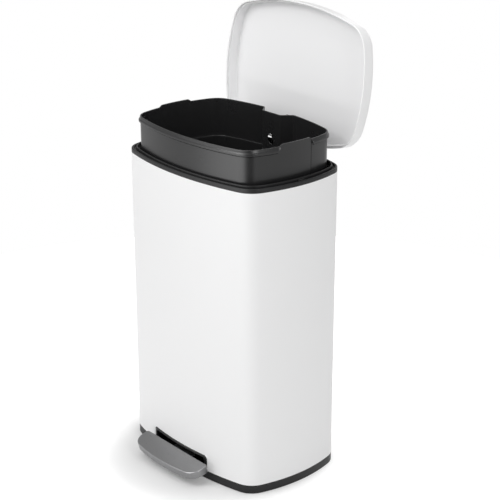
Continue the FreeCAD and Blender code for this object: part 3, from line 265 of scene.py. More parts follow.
def lids_for(edge, middle, rings=6):
    """Points that close an outline towards its middle: rings scaled down evenly, then one point.

    Each ring keeps the heights of the outline; the last point has their mean."""
    centre = np.array([middle[0], middle[1], edge[:, 2].mean()])
    scales = np.linspace(1, 0, rings + 1)[1:-1]
    closing = centre + (edge[:, None] - centre) * scales[:, None]
    closing[:, :, 2] = edge[:, None, 2]
    return closing, centre


def capped(points, middle):
    """A stack of rows with both ends closed by rings that shrink to a point: (points, faces)."""
    columns = points.shape[0]
    low_rings, low_pole = lids_for(points[:, 0], middle)
    high_rings, high_pole = lids_for(points[:, -1], middle)
    stack = np.concatenate([low_rings[:, ::-1], points, high_rings], 1)
    rows = stack.shape[1]
    faces = grid_faces(columns, rows, close_rows=False).tolist()
    a = np.arange(columns)
    for row, pole in ((0, columns * rows), (rows - 1, columns * rows + 1)):
        fan = np.stack([a * rows + row, (a + 1) % columns * rows + row, np.full(columns, pole)], 1)
        faces += fan.tolist()
    return np.concatenate([stack.reshape(-1, 3), [low_pole, high_pole]]), faces


def smooth_step(x, start, end):
    """0 before start, 1 after end, and a smooth S between."""
    t = np.clip((x - start) / (end - start), 0, 1)
    return t * t * (3 - 2 * t)


# ---------------------------------------------------------------- finishes
def shader(name, colour, rough, metal=0.0, specular=0.5):
    """A plain finish; returns the material, its node tree and its shader."""
    material = bpy.data.materials.new(name)
    material.use_nodes = True
    tree = material.node_tree
    body = tree.nodes["Principled BSDF"]
    body.inputs["Base Color"].default_value = (*colour, 1)
    body.inputs["Roughness"].default_value = rough
    body.inputs["Metallic"].default_value = metal
    body.inputs["Specular IOR Level"].default_value = specular
    return material, tree, body


def feed(tree, source, socket):
    """Set a socket to a constant, or link another node's output to it."""
    if isinstance(source, bpy.types.NodeSocket):
        tree.links.new(source, socket)
    else:
        socket.default_value = source


def maths(tree, operation, one, two):
    """One sum, product or the like of two numbers."""
    node = tree.nodes.new("ShaderNodeMath")
    node.operation = operation
    feed(tree, one, node.inputs[0])
    feed(tree, two, node.inputs[1])
    return node.outputs[0]


def vectors(tree, operation, one, two, result="Vector"):
    """One operation on two vectors."""
    node = tree.nodes.new("ShaderNodeVectorMath")
    node.operation = operation
    feed(tree, one, node.inputs[0])
    feed(tree, two, node.inputs[1])
    return node.outputs[result]


def remap(tree, value, source, target, smooth=False):
    """Carry a value from one range to another and hold it there, evenly or with a smooth S."""
    node = tree.nodes.new("ShaderNodeMapRange")
    node.interpolation_type = "SMOOTHSTEP" if smooth else "LINEAR"
    for name, number in zip(("From Min", "From Max", "To Min", "To Max"), (*source, *target)):
        node.inputs[name].default_value = number
    feed(tree, value, node.inputs["Value"])
    return node.outputs["Result"]


def noise(tree, scale, stretch=(1, 1, 1), detail=3.0):
    """A noise pattern fixed to the piece, with its own stretch along each axis."""
    place = tree.nodes.new("ShaderNodeTexCoord")
    turn = tree.nodes.new("ShaderNodeMapping")
    pattern = tree.nodes.new("ShaderNodeTexNoise")
    turn.inputs["Scale"].default_value = stretch
    pattern.inputs["Scale"].default_value = scale
    pattern.inputs["Detail"].default_value = detail
    tree.links.new(place.outputs["Object"], turn.inputs["Vector"])
    tree.links.new(turn.outputs["Vector"], pattern.inputs["Vector"])
    return pattern.outputs["Fac"]


def grain(tree, body, height, strength, distance):
    """Turn a pattern into fine relief."""
    bump = tree.nodes.new("ShaderNodeBump")
    bump.inputs["Strength"].default_value = strength
    bump.inputs["Distance"].default_value = distance
    tree.links.new(height, bump.inputs["Height"])
    tree.links.new(bump.outputs["Normal"], body.inputs["Normal"])


def vary_roughness(tree, body, pattern, low, high):
    """Let the roughness wander between two values with a pattern."""
    feed(tree, remap(tree, pattern, (0, 1), (low, high)), body.inputs["Roughness"])


def white_powder_coat():
    """Satin white coat on sheet steel, with the faintest orange peel."""
    material, tree, body = shader("white_powder_coat", (0.86, 0.86, 0.862), 0.48, specular=0.35)
    grain(tree, body, noise(tree, 420.0, detail=2.0), 0.05, 0.00015)
    return material


def white_lid_plastic():
    """Satin white moulding."""
    material, _, _ = shader("white_lid_plastic", (0.87, 0.87, 0.872), 0.30)
    return material


def white_dish_plastic():
    """The dish's smooth white moulding, a little glossier than the lid."""
    material, _, _ = shader("white_dish_plastic", (0.84, 0.84, 0.845), 0.27)
    return material


def black_moulding():
    """Fine matte black plastic with an eroded texture."""
    material, tree, body = shader("black_moulding", (0.012, 0.012, 0.0125), 0.42, specular=0.3)
    pattern = noise(tree, 900.0, detail=2.0)
    grain(tree, body, pattern, 0.12, 0.0001)
    vary_roughness(tree, body, noise(tree, 30.0), 0.36, 0.46)
    return material


def bucket_plastic():
    """Satin dark grey polypropylene."""
    material, tree, body = shader("bucket_plastic", (0.014, 0.014, 0.0145), 0.28, specular=0.5)
    vary_roughness(tree, body, noise(tree, 14.0), 0.25, 0.31)
    return material


def satin_pedal_steel():
    """Stainless sheet with a fine grain along the pad."""
    material, tree, body = shader("satin_pedal_steel", (0.29, 0.29, 0.294), 0.28, metal=1.0)
    pattern = noise(tree, 60.0, stretch=(1, 24, 24), detail=4.0)
    grain(tree, body, pattern, 0.05, 0.0001)
    vary_roughness(tree, body, pattern, 0.25, 0.33)
    return material


def zinc_steel():
    """Zinc plated steel, slightly clouded."""
    material, tree, body = shader("zinc_steel", (0.60, 0.61, 0.62), 0.32, metal=1.0)
    vary_roughness(tree, body, noise(tree, 45.0, detail=5.0), 0.26, 0.44)
    return material


def black_steel():
    """Sheet steel under a satin black coat."""
    material, tree, body = shader("black_steel", (0.012, 0.012, 0.013), 0.4, specular=0.4)
    vary_roughness(tree, body, noise(tree, 60.0), 0.36, 0.46)
    return material


def natural_nylon():
    """Unfilled nylon, pale and slightly warm."""
    material, _, _ = shader("natural_nylon", (0.68, 0.66, 0.60), 0.45)
    return material


def black_rubber():
    """Dull black rubber with a fine grain."""
    material, tree, body = shader("black_rubber", (0.02, 0.02, 0.02), 0.75, specular=0.3)
    grain(tree, body, noise(tree, 500.0), 0.15, 0.0002)
    return material


FINISH = {
    "shell_paint": white_powder_coat(),
    "lid_plastic": white_lid_plastic(),
    "liner_plastic": white_dish_plastic(),
    "black_plastic": black_moulding(),
    "bucket_plastic": bucket_plastic(),
    "pedal_steel": satin_pedal_steel(),
    "zinc_steel": zinc_steel(),
    "black_steel": black_steel(),
    "nylon": natural_nylon(),
    "rubber": black_rubber(),
}
SLOTS = {part["node"]: part["material_slot"] for part in frame["record"]["subparts"]}


def finish_cad_nodes():
    """Give each CAD piece the finish of its slot."""
    for name, thing in frame["nodes"].items():
        for slot in thing.material_slots:
            slot.material = FINISH[SLOTS[name]]


# ---------------------------------------------------------------- plans of this bin
POCKET_HALF = 27.0
POCKET = (MECH_X - POCKET_HALF, MECH_X + POCKET_HALF)
NOTCH = (MECH_X - NOTCH_HALF, MECH_X + NOTCH_HALF)
FRAME_GAP = 0.15
OPENING = (FRAME_LOW[0] - FRAME_GAP, FRAME_HIGH[0] + FRAME_GAP)
OPENING_CORNER = 6.0
GAP = (FRAME_LOW[0] - 1, FRAME_HIGH[0] + 1)
# Width of the sloped cell that stands for an upright edge of a cut.
STEP = 0.12
BACK_MARKS = [POCKET[0] - STEP, POCKET[0], POCKET[1], POCKET[1] + STEP,
              NOTCH[0] - STEP, NOTCH[0], NOTCH[1], NOTCH[1] + STEP]
FRONT_MARKS = [GAP[0] - STEP, GAP[0], GAP[1], GAP[1] + STEP, OPENING[0], OPENING[1],
               OPENING[0] + OPENING_CORNER, OPENING[1] - OPENING_CORNER]
BODY = bowed_plan(WIDTH, DEPTH, FRONT_BOW, SIDE_BOW, BODY_CORNER, FRONT_MARKS, BACK_MARKS)
LID = bowed_plan(LID_WIDTH, LID_DEPTH, LID_FRONT_BOW, LID_SIDE_BOW, LID_CORNER,
                 FRONT_MARKS, BACK_MARKS)
BUCKET = bowed_plan(BUCKET_WIDTH, BUCKET_DEPTH, BUCKET_FRONT_BOW, BUCKET_SIDE_BOW, BUCKET_CORNER,
                    FRONT_MARKS, BACK_MARKS)


def on_back(points, span):
    """Which columns lie on the back side with their x inside the span."""
    x, y = points[:, 0], points[:, 1]
    return (y > DEPTH / 4) & (x >= span[0] - 1e-3) & (x <= span[1] + 1e-3)


# ---------------------------------------------------------------- body of the bin
def outer_shell():
    """Sheet steel tube: the body plan carried up from the base ring, with the pedal's opening cut out.

    The sheet is one surface given its wall afterwards. The opening is a window of the grid, and its
    two upper corners are filled to a quarter circle by fans that lie in the bowed sheet."""
    window_top = FRAME_HIGH[2] + FRAME_GAP
    radius = OPENING_CORNER
    levels = np.concatenate([[RING_TOP, 30.0, window_top - radius, window_top],
                             np.linspace(window_top, SHELL_TOP, 12)[1:]])
    points = stacked([(BODY, 0.0, z) for z in levels])
    faces = grid_faces(*points.shape[:2], close_rows=False)
    verts = [points.reshape(-1, 3)]
    middle = verts[0][faces].mean(1)
    window = ((middle[:, 1] < 0) & (middle[:, 0] > OPENING[0]) & (middle[:, 0] < OPENING[1])
              & (middle[:, 2] < window_top))
    kept = faces[~window].tolist()
    turn = np.linspace(0, math.pi / 2, 9)
    step = np.arange(len(turn) - 1)
    first = len(verts[0])
    for side, edge in zip((-1, 1), OPENING):
        x = np.append(edge, edge - side * radius * (1 - np.cos(turn)))
        z = np.append(window_top, window_top - radius + radius * np.sin(turn))
        verts.append(np.stack([x, front_surface(x), z], 1))
        fans = np.stack([np.full(len(step), first), first + 1 + step, first + 2 + step], 1)
        kept += fans[:, ::side].tolist()
        first += len(x)
    return piece_with_wall("painted_shell", np.concatenate(verts), kept, SHELL_WALL, "body",
                           "shell_paint", "outer_shell")


def front_surface(x, inset=0.0):
    """y of the bowed front at x: the front arc's circle, moved inwards by inset."""
    return FRONT_BOW - DEPTH / 2 - np.sqrt((FRONT_BOW - inset) ** 2 - np.square(x))


def piece_with_wall(name, verts, faces, wall, body, slot, stands_for):
    """A sheet made solid: the surface is thickened inwards and its edges closed."""
    mesh = bpy.data.meshes.new(name)
    mesh.from_pydata((verts * MM).tolist(), [], faces)
    shape = bmesh.new()
    shape.from_mesh(mesh)
    bmesh.ops.remove_doubles(shape, verts=shape.verts, dist=SAME_PLACE)
    shape.to_mesh(mesh)
    shape.free()
    sheet = bpy.data.objects.new(name + "_sheet", mesh)
    bpy.context.scene.collection.objects.link(sheet)
    thick = sheet.modifiers.new("wall", "SOLIDIFY")
    thick.thickness = wall * MM
    thick.offset = -1.0
    thick.use_even_offset = True
    bpy.context.view_layer.update()
    graph = bpy.context.evaluated_depsgraph_get()
    solid = bpy.data.meshes.new_from_object(sheet.evaluated_get(graph))
    bpy.data.objects.remove(sheet)
    points = np.empty(len(solid.vertices) * 3)
    solid.vertices.foreach_get("co", points)
    made = [tuple(polygon.vertices) for polygon in solid.polygons]
    return piece(name, points.reshape(-1, 3) / MM, made, body, slot, stands_for)


def base_moulding():
    """Base: a ring flush with the shell, an upstand inside it and a floor, as one closed section.

    The section runs from the floor's under side out to the ring, up its rounded face, over the
    upstand and down to the floor's top; both ends close towards the middle."""
    low, ring, high, rail = TRAY_LOW[2], RING_TOP, TRAY_HIGH[2], 8.0
    floor_low, floor_top = 5.0, 8.0
    face = filleted([(rail, floor_low), (rail, low), (0.0, low), (0.0, ring), (SKIRT_OUT, ring),
                     (SKIRT_OUT, high), (SKIRT_IN, high), (SKIRT_IN, ring), (rail, ring),
                     (rail, floor_top)], [0.8, 0.7, 0.4, 0, 0.6, 0.6, 0.5, 0.8], 4)
    points = stacked(from_section(face, BODY))
    across = BODY.base[:, 0]
    gap = (points[:, 0, 1] < 0) & (across >= GAP[0] - 1e-3) & (across <= GAP[1] + 1e-3)
    points[gap, :, 2] = np.minimum(points[gap, :, 2], ring)
    return piece("base_moulding", *capped(points, (0, 0)), "body", "black_plastic", "base_tray")


def pedal_frame():
    """Frame of the pedal's opening: a flat band carried along an arch and laid on the bowed front.

    The band's outer line is the shell's opening, its inner line the same arch moved in by the band
    at the ends and by the head along the top. The section between them is rounded at its two front
    edges, and its face leans from the outer line to the inner one."""
    low, high = FRAME_LOW[2], FRAME_HIGH[2]
    left, right = FRAME_LOW[0], FRAME_HIGH[0]
    band, head, radius = 7.0, 4.5, OPENING_CORNER
    outer = filleted([(left, low), (left, high), (right, high), (right, low)], [radius, radius], 8)
    inner = filleted([(left + band, low), (left + band, high - head), (right - band, high - head),
                      (right - band, low)], [radius, radius], 8)
    along = np.linspace(left + radius + 4, right - radius - 4, 24)[:, None]
    outer = np.concatenate([outer[:10], np.hstack([along, 0 * along + high]), outer[10:]])
    inner = np.concatenate([inner[:10], np.hstack([along, 0 * along + high - head]), inner[10:]])
    proud, deep, lean = -0.6, 6.0, 1.4
    across = np.array([0, 0, 0.04, 0.12, 0.5, 0.88, 0.96, 1, 1])
    depth = np.array([deep, proud + 0.9, proud + 0.25, proud, proud, proud, proud + 0.25,
                      proud + 0.9, deep])
    depth[1:-1] -= lean * (across[1:-1] - 0.3)
    place = outer[:, None] * (1 - across[:, None]) + inner[:, None] * across[:, None]
    points = np.stack([place[..., 0], front_surface(place[..., 0], depth), place[..., 1]], -1)
    steps, rows = place.shape[:2]
    end = np.arange(rows)
    faces = grid_faces(steps, rows, close_columns=False).tolist()
    faces += [end.tolist(), ((steps - 1) * rows + end[::-1]).tolist()]
    return piece("pedal_frame", points.reshape(-1, 3), faces, "body", "black_plastic",
                 "pedal_surround")


def rim_collar():
    """Rim: skirt inside the shell, flush outer bead, groove, higher ridge, and the bucket's ledge.

    One closed section whose outer rows follow the body's plan, whose ridge follows the lid's and
    whose inner edge follows the bucket's. Where the hinge stands, the section is clamped to a low
    outer wall: nothing above the pocket's floor and nothing in front of the skirt."""
    web, bead, ridge = SHELL_TOP + 4.0, SHELL_TOP + 8.3, RIM_HIGH[2]
    low = RIM_LOW[2]
    ledge = SHELL_TOP + 0.8
    outer = filleted([(SKIRT_IN, low), (SKIRT_OUT, low), (SKIRT_OUT, SHELL_TOP), (0, SHELL_TOP),
                      (0, bead), (4.5, bead), (4.5, web), (6.0, web)], [0.3, 0, 0, 1.9, 1.9, 0.7], 6)
    crest = filleted([(1.5, web), (3.8, web), (3.8, ridge), (6.2, ridge), (6.2, web)],
                     [0.6, 1.0, 1.0], 6)
    under = ledge - 2.5
    inner = filleted([(-3.7, web), (-3.7, ledge), (-1.3, ledge), (-1.3, under)], [0, 0.4], 4)
    points = stacked(from_section(outer[:-1], BODY) + from_section(crest[1:], LID)
                     + from_section(inner, BUCKET) + [(BODY, SKIRT_IN, under)])
    pocket = on_back(BODY.base, POCKET)
    skirt_face = DEPTH / 2 - SKIRT_IN
    points[pocket, :, 2] = np.minimum(points[pocket, :, 2], SHELL_TOP + 2.0)
    points[pocket, :, 1] = np.maximum(points[pocket, :, 1], skirt_face)
    faces = grid_faces(*points.shape[:2]).tolist()
    return piece("rim_collar", points.reshape(-1, 3), faces, "body", "black_plastic", "top_rim",
                 sharp=38)


def rubber_foot(x, y):
    """Turned foot: a disc with a broken edge and a ring groove in its sole."""
    profile = np.array([(FOOT_RADIUS, FOOT_HIGH[2]), (FOOT_RADIUS, 0.8), (FOOT_RADIUS - 0.8, 0),
                        (6.5, 0), (6.2, 0.7), (4.4, 0.7), (4.1, 0)])
    angle = np.linspace(0, 2 * math.pi, 49)[:-1, None]
    radius, height = profile.T
    points = np.stack([x + radius * np.cos(angle), y + radius * np.sin(angle),
                       height + 0 * angle], -1)
    return capped(points, (x, y))


def rubber_feet():
    """Four feet under the base, at the corners of the CAD piece's box."""
    verts, faces = [], []
    for x in (FOOT_LOW[0] + FOOT_RADIUS, FOOT_HIGH[0] - FOOT_RADIUS):
        for y in (FOOT_LOW[1] + FOOT_RADIUS, FOOT_HIGH[1] - FOOT_RADIUS):
            made, quads = rubber_foot(x, y)
            first = sum(map(len, verts))
            verts.append(made)
            faces += [[corner + first for corner in quad] for quad in quads]
    return piece("feet", np.concatenate(verts), faces, "body", "rubber", "rubber_feet")


# ---------------------------------------------------------------- lid
def opened(points):
    """Turn points of the closed lid about the hinge axis to where the lid stands open."""
    y, z = points[:, 1] - HINGE[1], points[:, 2] - HINGE[2]
    cos, sin = math.cos(LID_OPEN), math.sin(LID_OPEN)
    turned = points.copy()
    turned[:, 1] = HINGE[1] + y * cos + z * sin
    turned[:, 2] = HINGE[2] - y * sin + z * cos
    return turned


def dish(name, outer_inset, wall, low, high, shoulder, inner_shoulder, notch_top, slot, stands_for):
    """A lid moulding: up the outside, round the shoulder to the top, and back down the inside.

    The section is (inset, height) from the middle of the top's outside to the middle of its inside;
    near the hinge the lip is lifted to the notch's top."""
    reach = outer_inset + shoulder + 4
    outside = filleted([(reach, high), (outer_inset, high), (outer_inset, low),
                        (outer_inset + wall, low), (outer_inset + wall, high - wall),
                        (reach, high - wall)], [shoulder, 0.8, 0.8, inner_shoulder], 12)
    points = stacked(from_section(outside, LID))
    notch = on_back(LID.base, NOTCH)
    points[notch, :, 2] = np.maximum(points[notch, :, 2], notch_top)
    verts, faces = capped(points, (0, 0))
    return piece(name, opened(verts), faces, "lid", slot, stands_for, sharp=40)


def lid_pieces():
    """The white lid and, inside it, its smooth dish."""
    top, shoulder = LIP + LID_TALL, 12.0
    dish("lid_top", 0.0, LID_WALL, LIP, top, shoulder, 9.4, HINGE[2] + 8.0, "lid_plastic",
         "lid_shell")
    gap = LID_WALL + 0.6
    dish("lid_dish", gap, 1.8, LIP + 3.5, top - LID_WALL - 0.4, shoulder - gap, 1.6, HINGE[2] + 9.0,
         "liner_plastic", "lid_liner")


# ---------------------------------------------------------------- inner bucket
BUCKET_BACK = BUCKET_DEPTH / 2
BUCKET_WALL, BUCKET_RIM_WALL = 3.0, 2.0
BUCKET_DRAFT = math.tan(math.radians(0.4))
BEAD_LOW = 10.2
SHELF_DROP = 76.5
GROOVE_FLOOR = 24.0
GROOVE_MOUTH = 41.2
GROOVE_DEEP = 21.1
GROOVE_Y = BUCKET_BACK - GROOVE_DEEP
# The bucket's sides: columns beyond this x and within this y.
SIDE_FROM, SIDE_TO = 150, 60
HOLE_RADIUS = 10.5
HOLE_SQUARE = 12.5
HOLE_CELLS = 8
HOLE_Z = BUCKET_TOP - 52.0
# The side panel: it rises along y to PANEL_PROUD, and a slit closes it behind the grip tab.
TAB_REAR = TAB_HALF + 2.5
PANEL_PROUD = 0.8
SLIT_DEEP = 1.3
PANEL_STEP = (TAB_REAR - 0.6, TAB_REAR - 0.4, TAB_REAR + 1.2, TAB_REAR + 1.4)
BUCKET_SIDE_MARKS = sorted([*(-TAB_HALF + 5 - np.arange(16)), *(TAB_REAR - 5 + np.arange(16)),
                            *PANEL_STEP])


def bucket_plan():
    """The bucket's outline: its bowed rectangle with the mechanism's groove let into the back.

    The groove is a trapezium with rounded corners; its normals come from its own direction, so an
    inset gives the wall the same thickness all along."""
    plain = bowed_plan(BUCKET_WIDTH, BUCKET_DEPTH, BUCKET_FRONT_BOW, BUCKET_SIDE_BOW, BUCKET_CORNER,
                       side=BUCKET_SIDE_MARKS)
    span = (MECH_X - GROOVE_MOUTH - 10, MECH_X + GROOVE_MOUTH + 10)
    inside = (plain.base[:, 1] > 0) & (plain.base[:, 0] > span[0]) & (plain.base[:, 0] < span[1])
    first, last = np.flatnonzero(inside)[[0, -1]]

    def on_arc(x):
        """The bowed back's point at x."""
        return x, BUCKET_BACK - BUCKET_FRONT_BOW + math.sqrt(BUCKET_FRONT_BOW ** 2 - x * x)

    run = filleted([on_arc(span[1]), on_arc(MECH_X + GROOVE_MOUTH),
                    (MECH_X + GROOVE_FLOOR, GROOVE_Y), (MECH_X - GROOVE_FLOOR, GROOVE_Y),
                    on_arc(MECH_X - GROOVE_MOUTH), on_arc(span[0])], [6.0, 6.0, 6.0, 6.0], 8)
    hole = MECH_X + np.linspace(-HOLE_SQUARE, HOLE_SQUARE, HOLE_CELLS + 1)[::-1]
    middle = len(run) // 2
    across_hole = np.stack([hole, np.full(len(hole), GROOVE_Y)], 1)
    run = np.concatenate([run[:middle], across_hole, run[middle:]])
    ahead = np.roll(run, -1, 0) - run
    ahead /= np.linalg.norm(ahead, axis=1)[:, None]
    behind = np.roll(ahead, 1, 0)
    tangent = ahead + behind
    tangent[0], tangent[-1] = ahead[0], behind[-1]
    tangent /= np.linalg.norm(tangent, axis=1)[:, None]
    normal = np.stack([tangent[:, 1], -tangent[:, 0]], 1)
    base = np.concatenate([plain.base[:first], run, plain.base[last + 1:]])
    normals = np.concatenate([plain.normal[:first], normal, plain.normal[last + 1:]])
    in_groove = np.zeros(len(base), bool)
    in_groove[first:first + len(run)] = True
    return Plan(base, normals), in_groove


def bucket_rows():
    """The bucket's section from the rim down outside, round the bottom and up the inside.

    Rows are (inset, height, part of the bucket); the second result counts those of the outside."""
    top, bottom = BUCKET_TOP, BUCKET_BOTTOM
    under = -BEAD_LOW
    lip = filleted([(1.0, 0.0), (0.0, 0.0), (-0.4, -0.7)], [0.4], 4)[:-1]
    bead_line = filleted([(-0.4, -0.7), (-1.5, -4.5), (-3.3, -6.6), (-3.3, under), (1.2, under),
                          (1.2, under - 1.8), (0, under - 2.2), (0, under - 2.6)],
                         [2.5, 1.2, 0.5, 0.1, 0.1, 0.1], 4)
    hole = HOLE_Z + np.linspace(HOLE_SQUARE, -HOLE_SQUARE, HOLE_CELLS + 1)
    low_wall = np.linspace(top - 90, bottom + 16, 8)
    foot = filleted([(0.0, bottom + 13), (0.0, bottom), (16.0, bottom)], [12.0], 8)
    floor = bottom + BUCKET_WALL
    inner_foot = filleted([(16.0, floor), (BUCKET_WALL, floor), (BUCKET_WALL, bottom + 15)],
                          [10.0], 8)
    shelf = top - SHELF_DROP
    inner_step = filleted([(BUCKET_WALL, shelf - 3.5), (BUCKET_WALL, shelf),
                           (BUCKET_RIM_WALL, shelf), (BUCKET_RIM_WALL, shelf + 6.5)], [0.4, 0.4], 3)
    inner_lip = filleted([(BUCKET_RIM_WALL, -3.0), (BUCKET_RIM_WALL, 0.0), (1.0, 0.0)], [0.7], 4)
    outside = ([(inset, top + drop, "rim") for inset, drop in lip]
               + [(inset, top + drop, "bead") for inset, drop in bead_line]
               + [(0.0, z, "wall") for z in (top - 24, *hole, *low_wall)]
               + [(inset, z, "foot") for inset, z in foot])
    inside = ([(inset, z, "inner_foot") for inset, z in inner_foot]
              + [(BUCKET_WALL, z, "inner") for z in low_wall[::-1]]
              + [(inset, z, "inner") for inset, z in inner_step]
              + [(BUCKET_RIM_WALL, z, "inner") for z in (*hole[::-1], top - 24, top - 12)]
              + [(inset, top + drop, "inner_rim") for inset, drop in inner_lip])
    return outside + inside, len(outside)


def bucket_points():
    """Carry the bucket's rows round its plan.

    By column, the two grip tabs lift the rim, the bead fades out beside them, the side panels stand
    proud, and the wall leans in with its draft: the depth below the rim times the draft."""
    plan, in_groove = bucket_plan()
    rows, outside = bucket_rows()
    y = plan.base[:, 1]
    on_side = (np.abs(plan.base[:, 0]) > SIDE_FROM) & (np.abs(y) < SIDE_TO)
    ahead = np.where(y < 0, -y - TAB_HALF, y - TAB_REAR)
    tab = np.where(on_side, 1 - smooth_step(ahead, -6, 2), 0.0)
    band = np.where(on_side, smooth_step(ahead, -3, 5), 1.0)
    bead = np.where(on_side, smooth_step(ahead, -2, 0.5), 1.0)
    bead *= np.where(in_groove, groove_bead(plan), 1.0)
    ramp = np.clip((y + TAB_HALF) / (TAB_REAR + TAB_HALF), 0, 1)
    past_step = smooth_step(y, PANEL_STEP[0], PANEL_STEP[1])
    slit = past_step - smooth_step(y, PANEL_STEP[2], PANEL_STEP[3])
    panel = np.where(on_side, PANEL_PROUD * ramp * (1 - past_step) - SLIT_DEEP * slit, 0.0)
    draft = np.where(in_groove, 0.0, BUCKET_DRAFT)
    points = np.empty((len(y), len(rows), 3))
    for k, (inset, z, part) in enumerate(rows):
        inset, lift = np.full(len(y), inset), 0.0
        if part in ("rim", "inner_rim"):
            lift = BUCKET_TAB_RISE * tab
        if part == "bead":
            inset = inset * bead
            lift = BUCKET_TAB_RISE * tab - (1 - band) * (z - BUCKET_TOP) * 0.85
        if part in ("rim", "bead", "wall", "foot"):
            inset = inset - panel
        if part in ("foot", "inner_foot"):
            keep = 0.0 if part == "foot" else BUCKET_RIM_WALL
            inset = np.where(in_groove, np.minimum(inset, keep), inset)
        points[:, k, :2] = plan.at(inset + (BUCKET_TOP - min(z, BUCKET_TOP)) * draft)
        points[:, k, 2] = z + lift
    return points, outside


def groove_bead(plan):
    """The bead stops where the groove begins: full on the back wall, none on the groove's sides."""
    x = np.abs(plan.base[:, 0] - MECH_X)
    return smooth_step(x, GROOVE_MOUTH - 1, GROOVE_MOUTH + 4)


def inner_bucket():
    """Close the bucket's rows into one skin and open the round hole for the bag's end."""
    points, outside = bucket_points()
    columns, count = points.shape[:2]
    flat = points.reshape(-1, 3)
    a = np.arange(columns)
    faces = grid_faces(columns, count).reshape(columns, count, 4).transpose(1, 0, 2)
    faces = np.delete(faces, outside - 1, 0).reshape(-1, 4)
    verts, made, total = [flat], [], len(flat)
    for row in (outside - 1, outside):
        rings, pole = lids_for(points[:, row], (0.0, -8.0), rings=7)
        verts += [rings.reshape(-1, 3), pole.reshape(1, 3)]
        index = total + np.arange(rings.shape[0] * rings.shape[1]).reshape(rings.shape[:2])
        total += index.size + 1
        grid = np.concatenate([(a * count + row)[:, None], index], 1)
        after = np.roll(grid, -1, 0)
        quads = np.stack([grid[:, :-1], after[:, :-1], after[:, 1:], grid[:, 1:]], -1)
        fan = np.stack([grid[:, -1], after[:, -1], np.full(columns, total - 1)], 1)
        made += quads.reshape(-1, 4).tolist() + fan.tolist()
    kept, patch_verts, patch_faces = open_hole(flat, faces, total)
    return piece("bucket", np.concatenate(verts + [patch_verts]), kept + made + patch_faces,
                 "bucket", "bucket_plastic", "inner_bucket", sharp=36)


def open_hole(flat, faces, first):
    """Take a square of cells out of the groove's floor, outside and inside, and lead its edge to a
    circle: each point of the square goes to the circle's point in the same direction."""
    middle = flat[faces].mean(1)
    near = ((np.abs(middle[:, 0] - MECH_X) < HOLE_SQUARE)
            & (np.abs(middle[:, 2] - HOLE_Z) < HOLE_SQUARE))
    walls = [near & (np.abs(middle[:, 1] - level) < 0.5)
             for level in (GROOVE_Y, GROOVE_Y - BUCKET_RIM_WALL)]
    verts, made, rims = [], [], []
    for wall in walls:
        corners = np.unique(faces[wall])
        x, z = flat[corners, 0] - MECH_X, flat[corners, 2] - HOLE_Z
        corners = corners[np.maximum(np.abs(x), np.abs(z)) > HOLE_SQUARE - 0.01]
        x, z = flat[corners, 0] - MECH_X, flat[corners, 2] - HOLE_Z
        corners = corners[np.argsort(np.arctan2(z, x))]
        circle = flat[corners]
        x, z = circle[:, 0] - MECH_X, circle[:, 2] - HOLE_Z
        reach = np.hypot(x, z)
        circle[:, 0] = MECH_X + x / reach * HOLE_RADIUS
        circle[:, 2] = HOLE_Z + z / reach * HOLE_RADIUS
        index = first + np.arange(len(circle))
        first += len(circle)
        verts.append(circle)
        rims.append(index)
        made += band_between(corners, index)
    made += band_between(*rims)
    return faces[~(walls[0] | walls[1])].tolist(), np.concatenate(verts), made


def band_between(one, two):
    """Quads between two closed loops of points that are in step."""
    return np.stack([one, np.roll(one, -1), np.roll(two, -1), two], 1).tolist()


# ---------------------------------------------------------------- pedal
def pad_plan():
    """The pad seen along its face's normal: straight back, bowed ends, round corners, bowed front.

    Local x runs across, local y from the back edge (0) to the front (negative)."""
    front_bow, side_bow, corner, back_corner = 457.0, 204.0, 25.0, 6.0
    front = np.array([0.0, front_bow - PAD_REACH])
    side = np.array([PAD_HALF - side_bow, 0.0])
    cx, cy = corner_centre(front, front_bow, side, side_bow, corner)
    on_front = math.atan2(cy - front[1], cx - front[0])
    on_side = math.atan2(cy - side[1], cx - side[0])
    rear_y = -back_corner
    rear_x = side[0] + math.sqrt((side_bow - back_corner) ** 2 - rear_y ** 2)
    on_rear = math.atan2(rear_y, rear_x - side[0])
    right = joined([
        (front, front_bow, np.linspace(-math.pi / 2, on_front, 26)[1:]),
        ((cx, cy), corner, np.linspace(on_front, on_side, 20)[1:]),
        (side, side_bow, np.linspace(on_side, on_rear, 8)[1:]),
        ((rear_x, rear_y), back_corner, np.linspace(on_rear, math.pi / 2, 10)[1:])])
    edges = (-SLOT_HALF - 0.1, -SLOT_HALF, SLOT_HALF, SLOT_HALF + 0.1)
    back_x = np.unique(np.concatenate([np.linspace(-80, 80, 17), edges]))[::-1]
    back = np.stack([back_x, np.zeros(len(back_x))], 1)
    back_normal = np.tile([0.0, 1.0], (len(back_x), 1))
    mirror = np.array([-1.0, 1.0])
    return Plan(np.concatenate([[[0.0, -PAD_REACH]], right.base, back, right.base[::-1] * mirror]),
                np.concatenate([[[0.0, -1.0]], right.normal, back_normal,
                                right.normal[::-1] * mirror]))


def sloped(points):
    """Tilt the pad's local frame to the pressed pedal's slope, about its back upper edge."""
    y, z = points[:, 1], points[:, 2]
    cos, sin = math.cos(PAD_SLOPE), math.sin(PAD_SLOPE)
    turned = points.copy()
    turned[:, 1] = PAD_BACK + y * cos - z * sin
    turned[:, 2] = PAD_LEVEL + y * sin + z * cos
    return turned


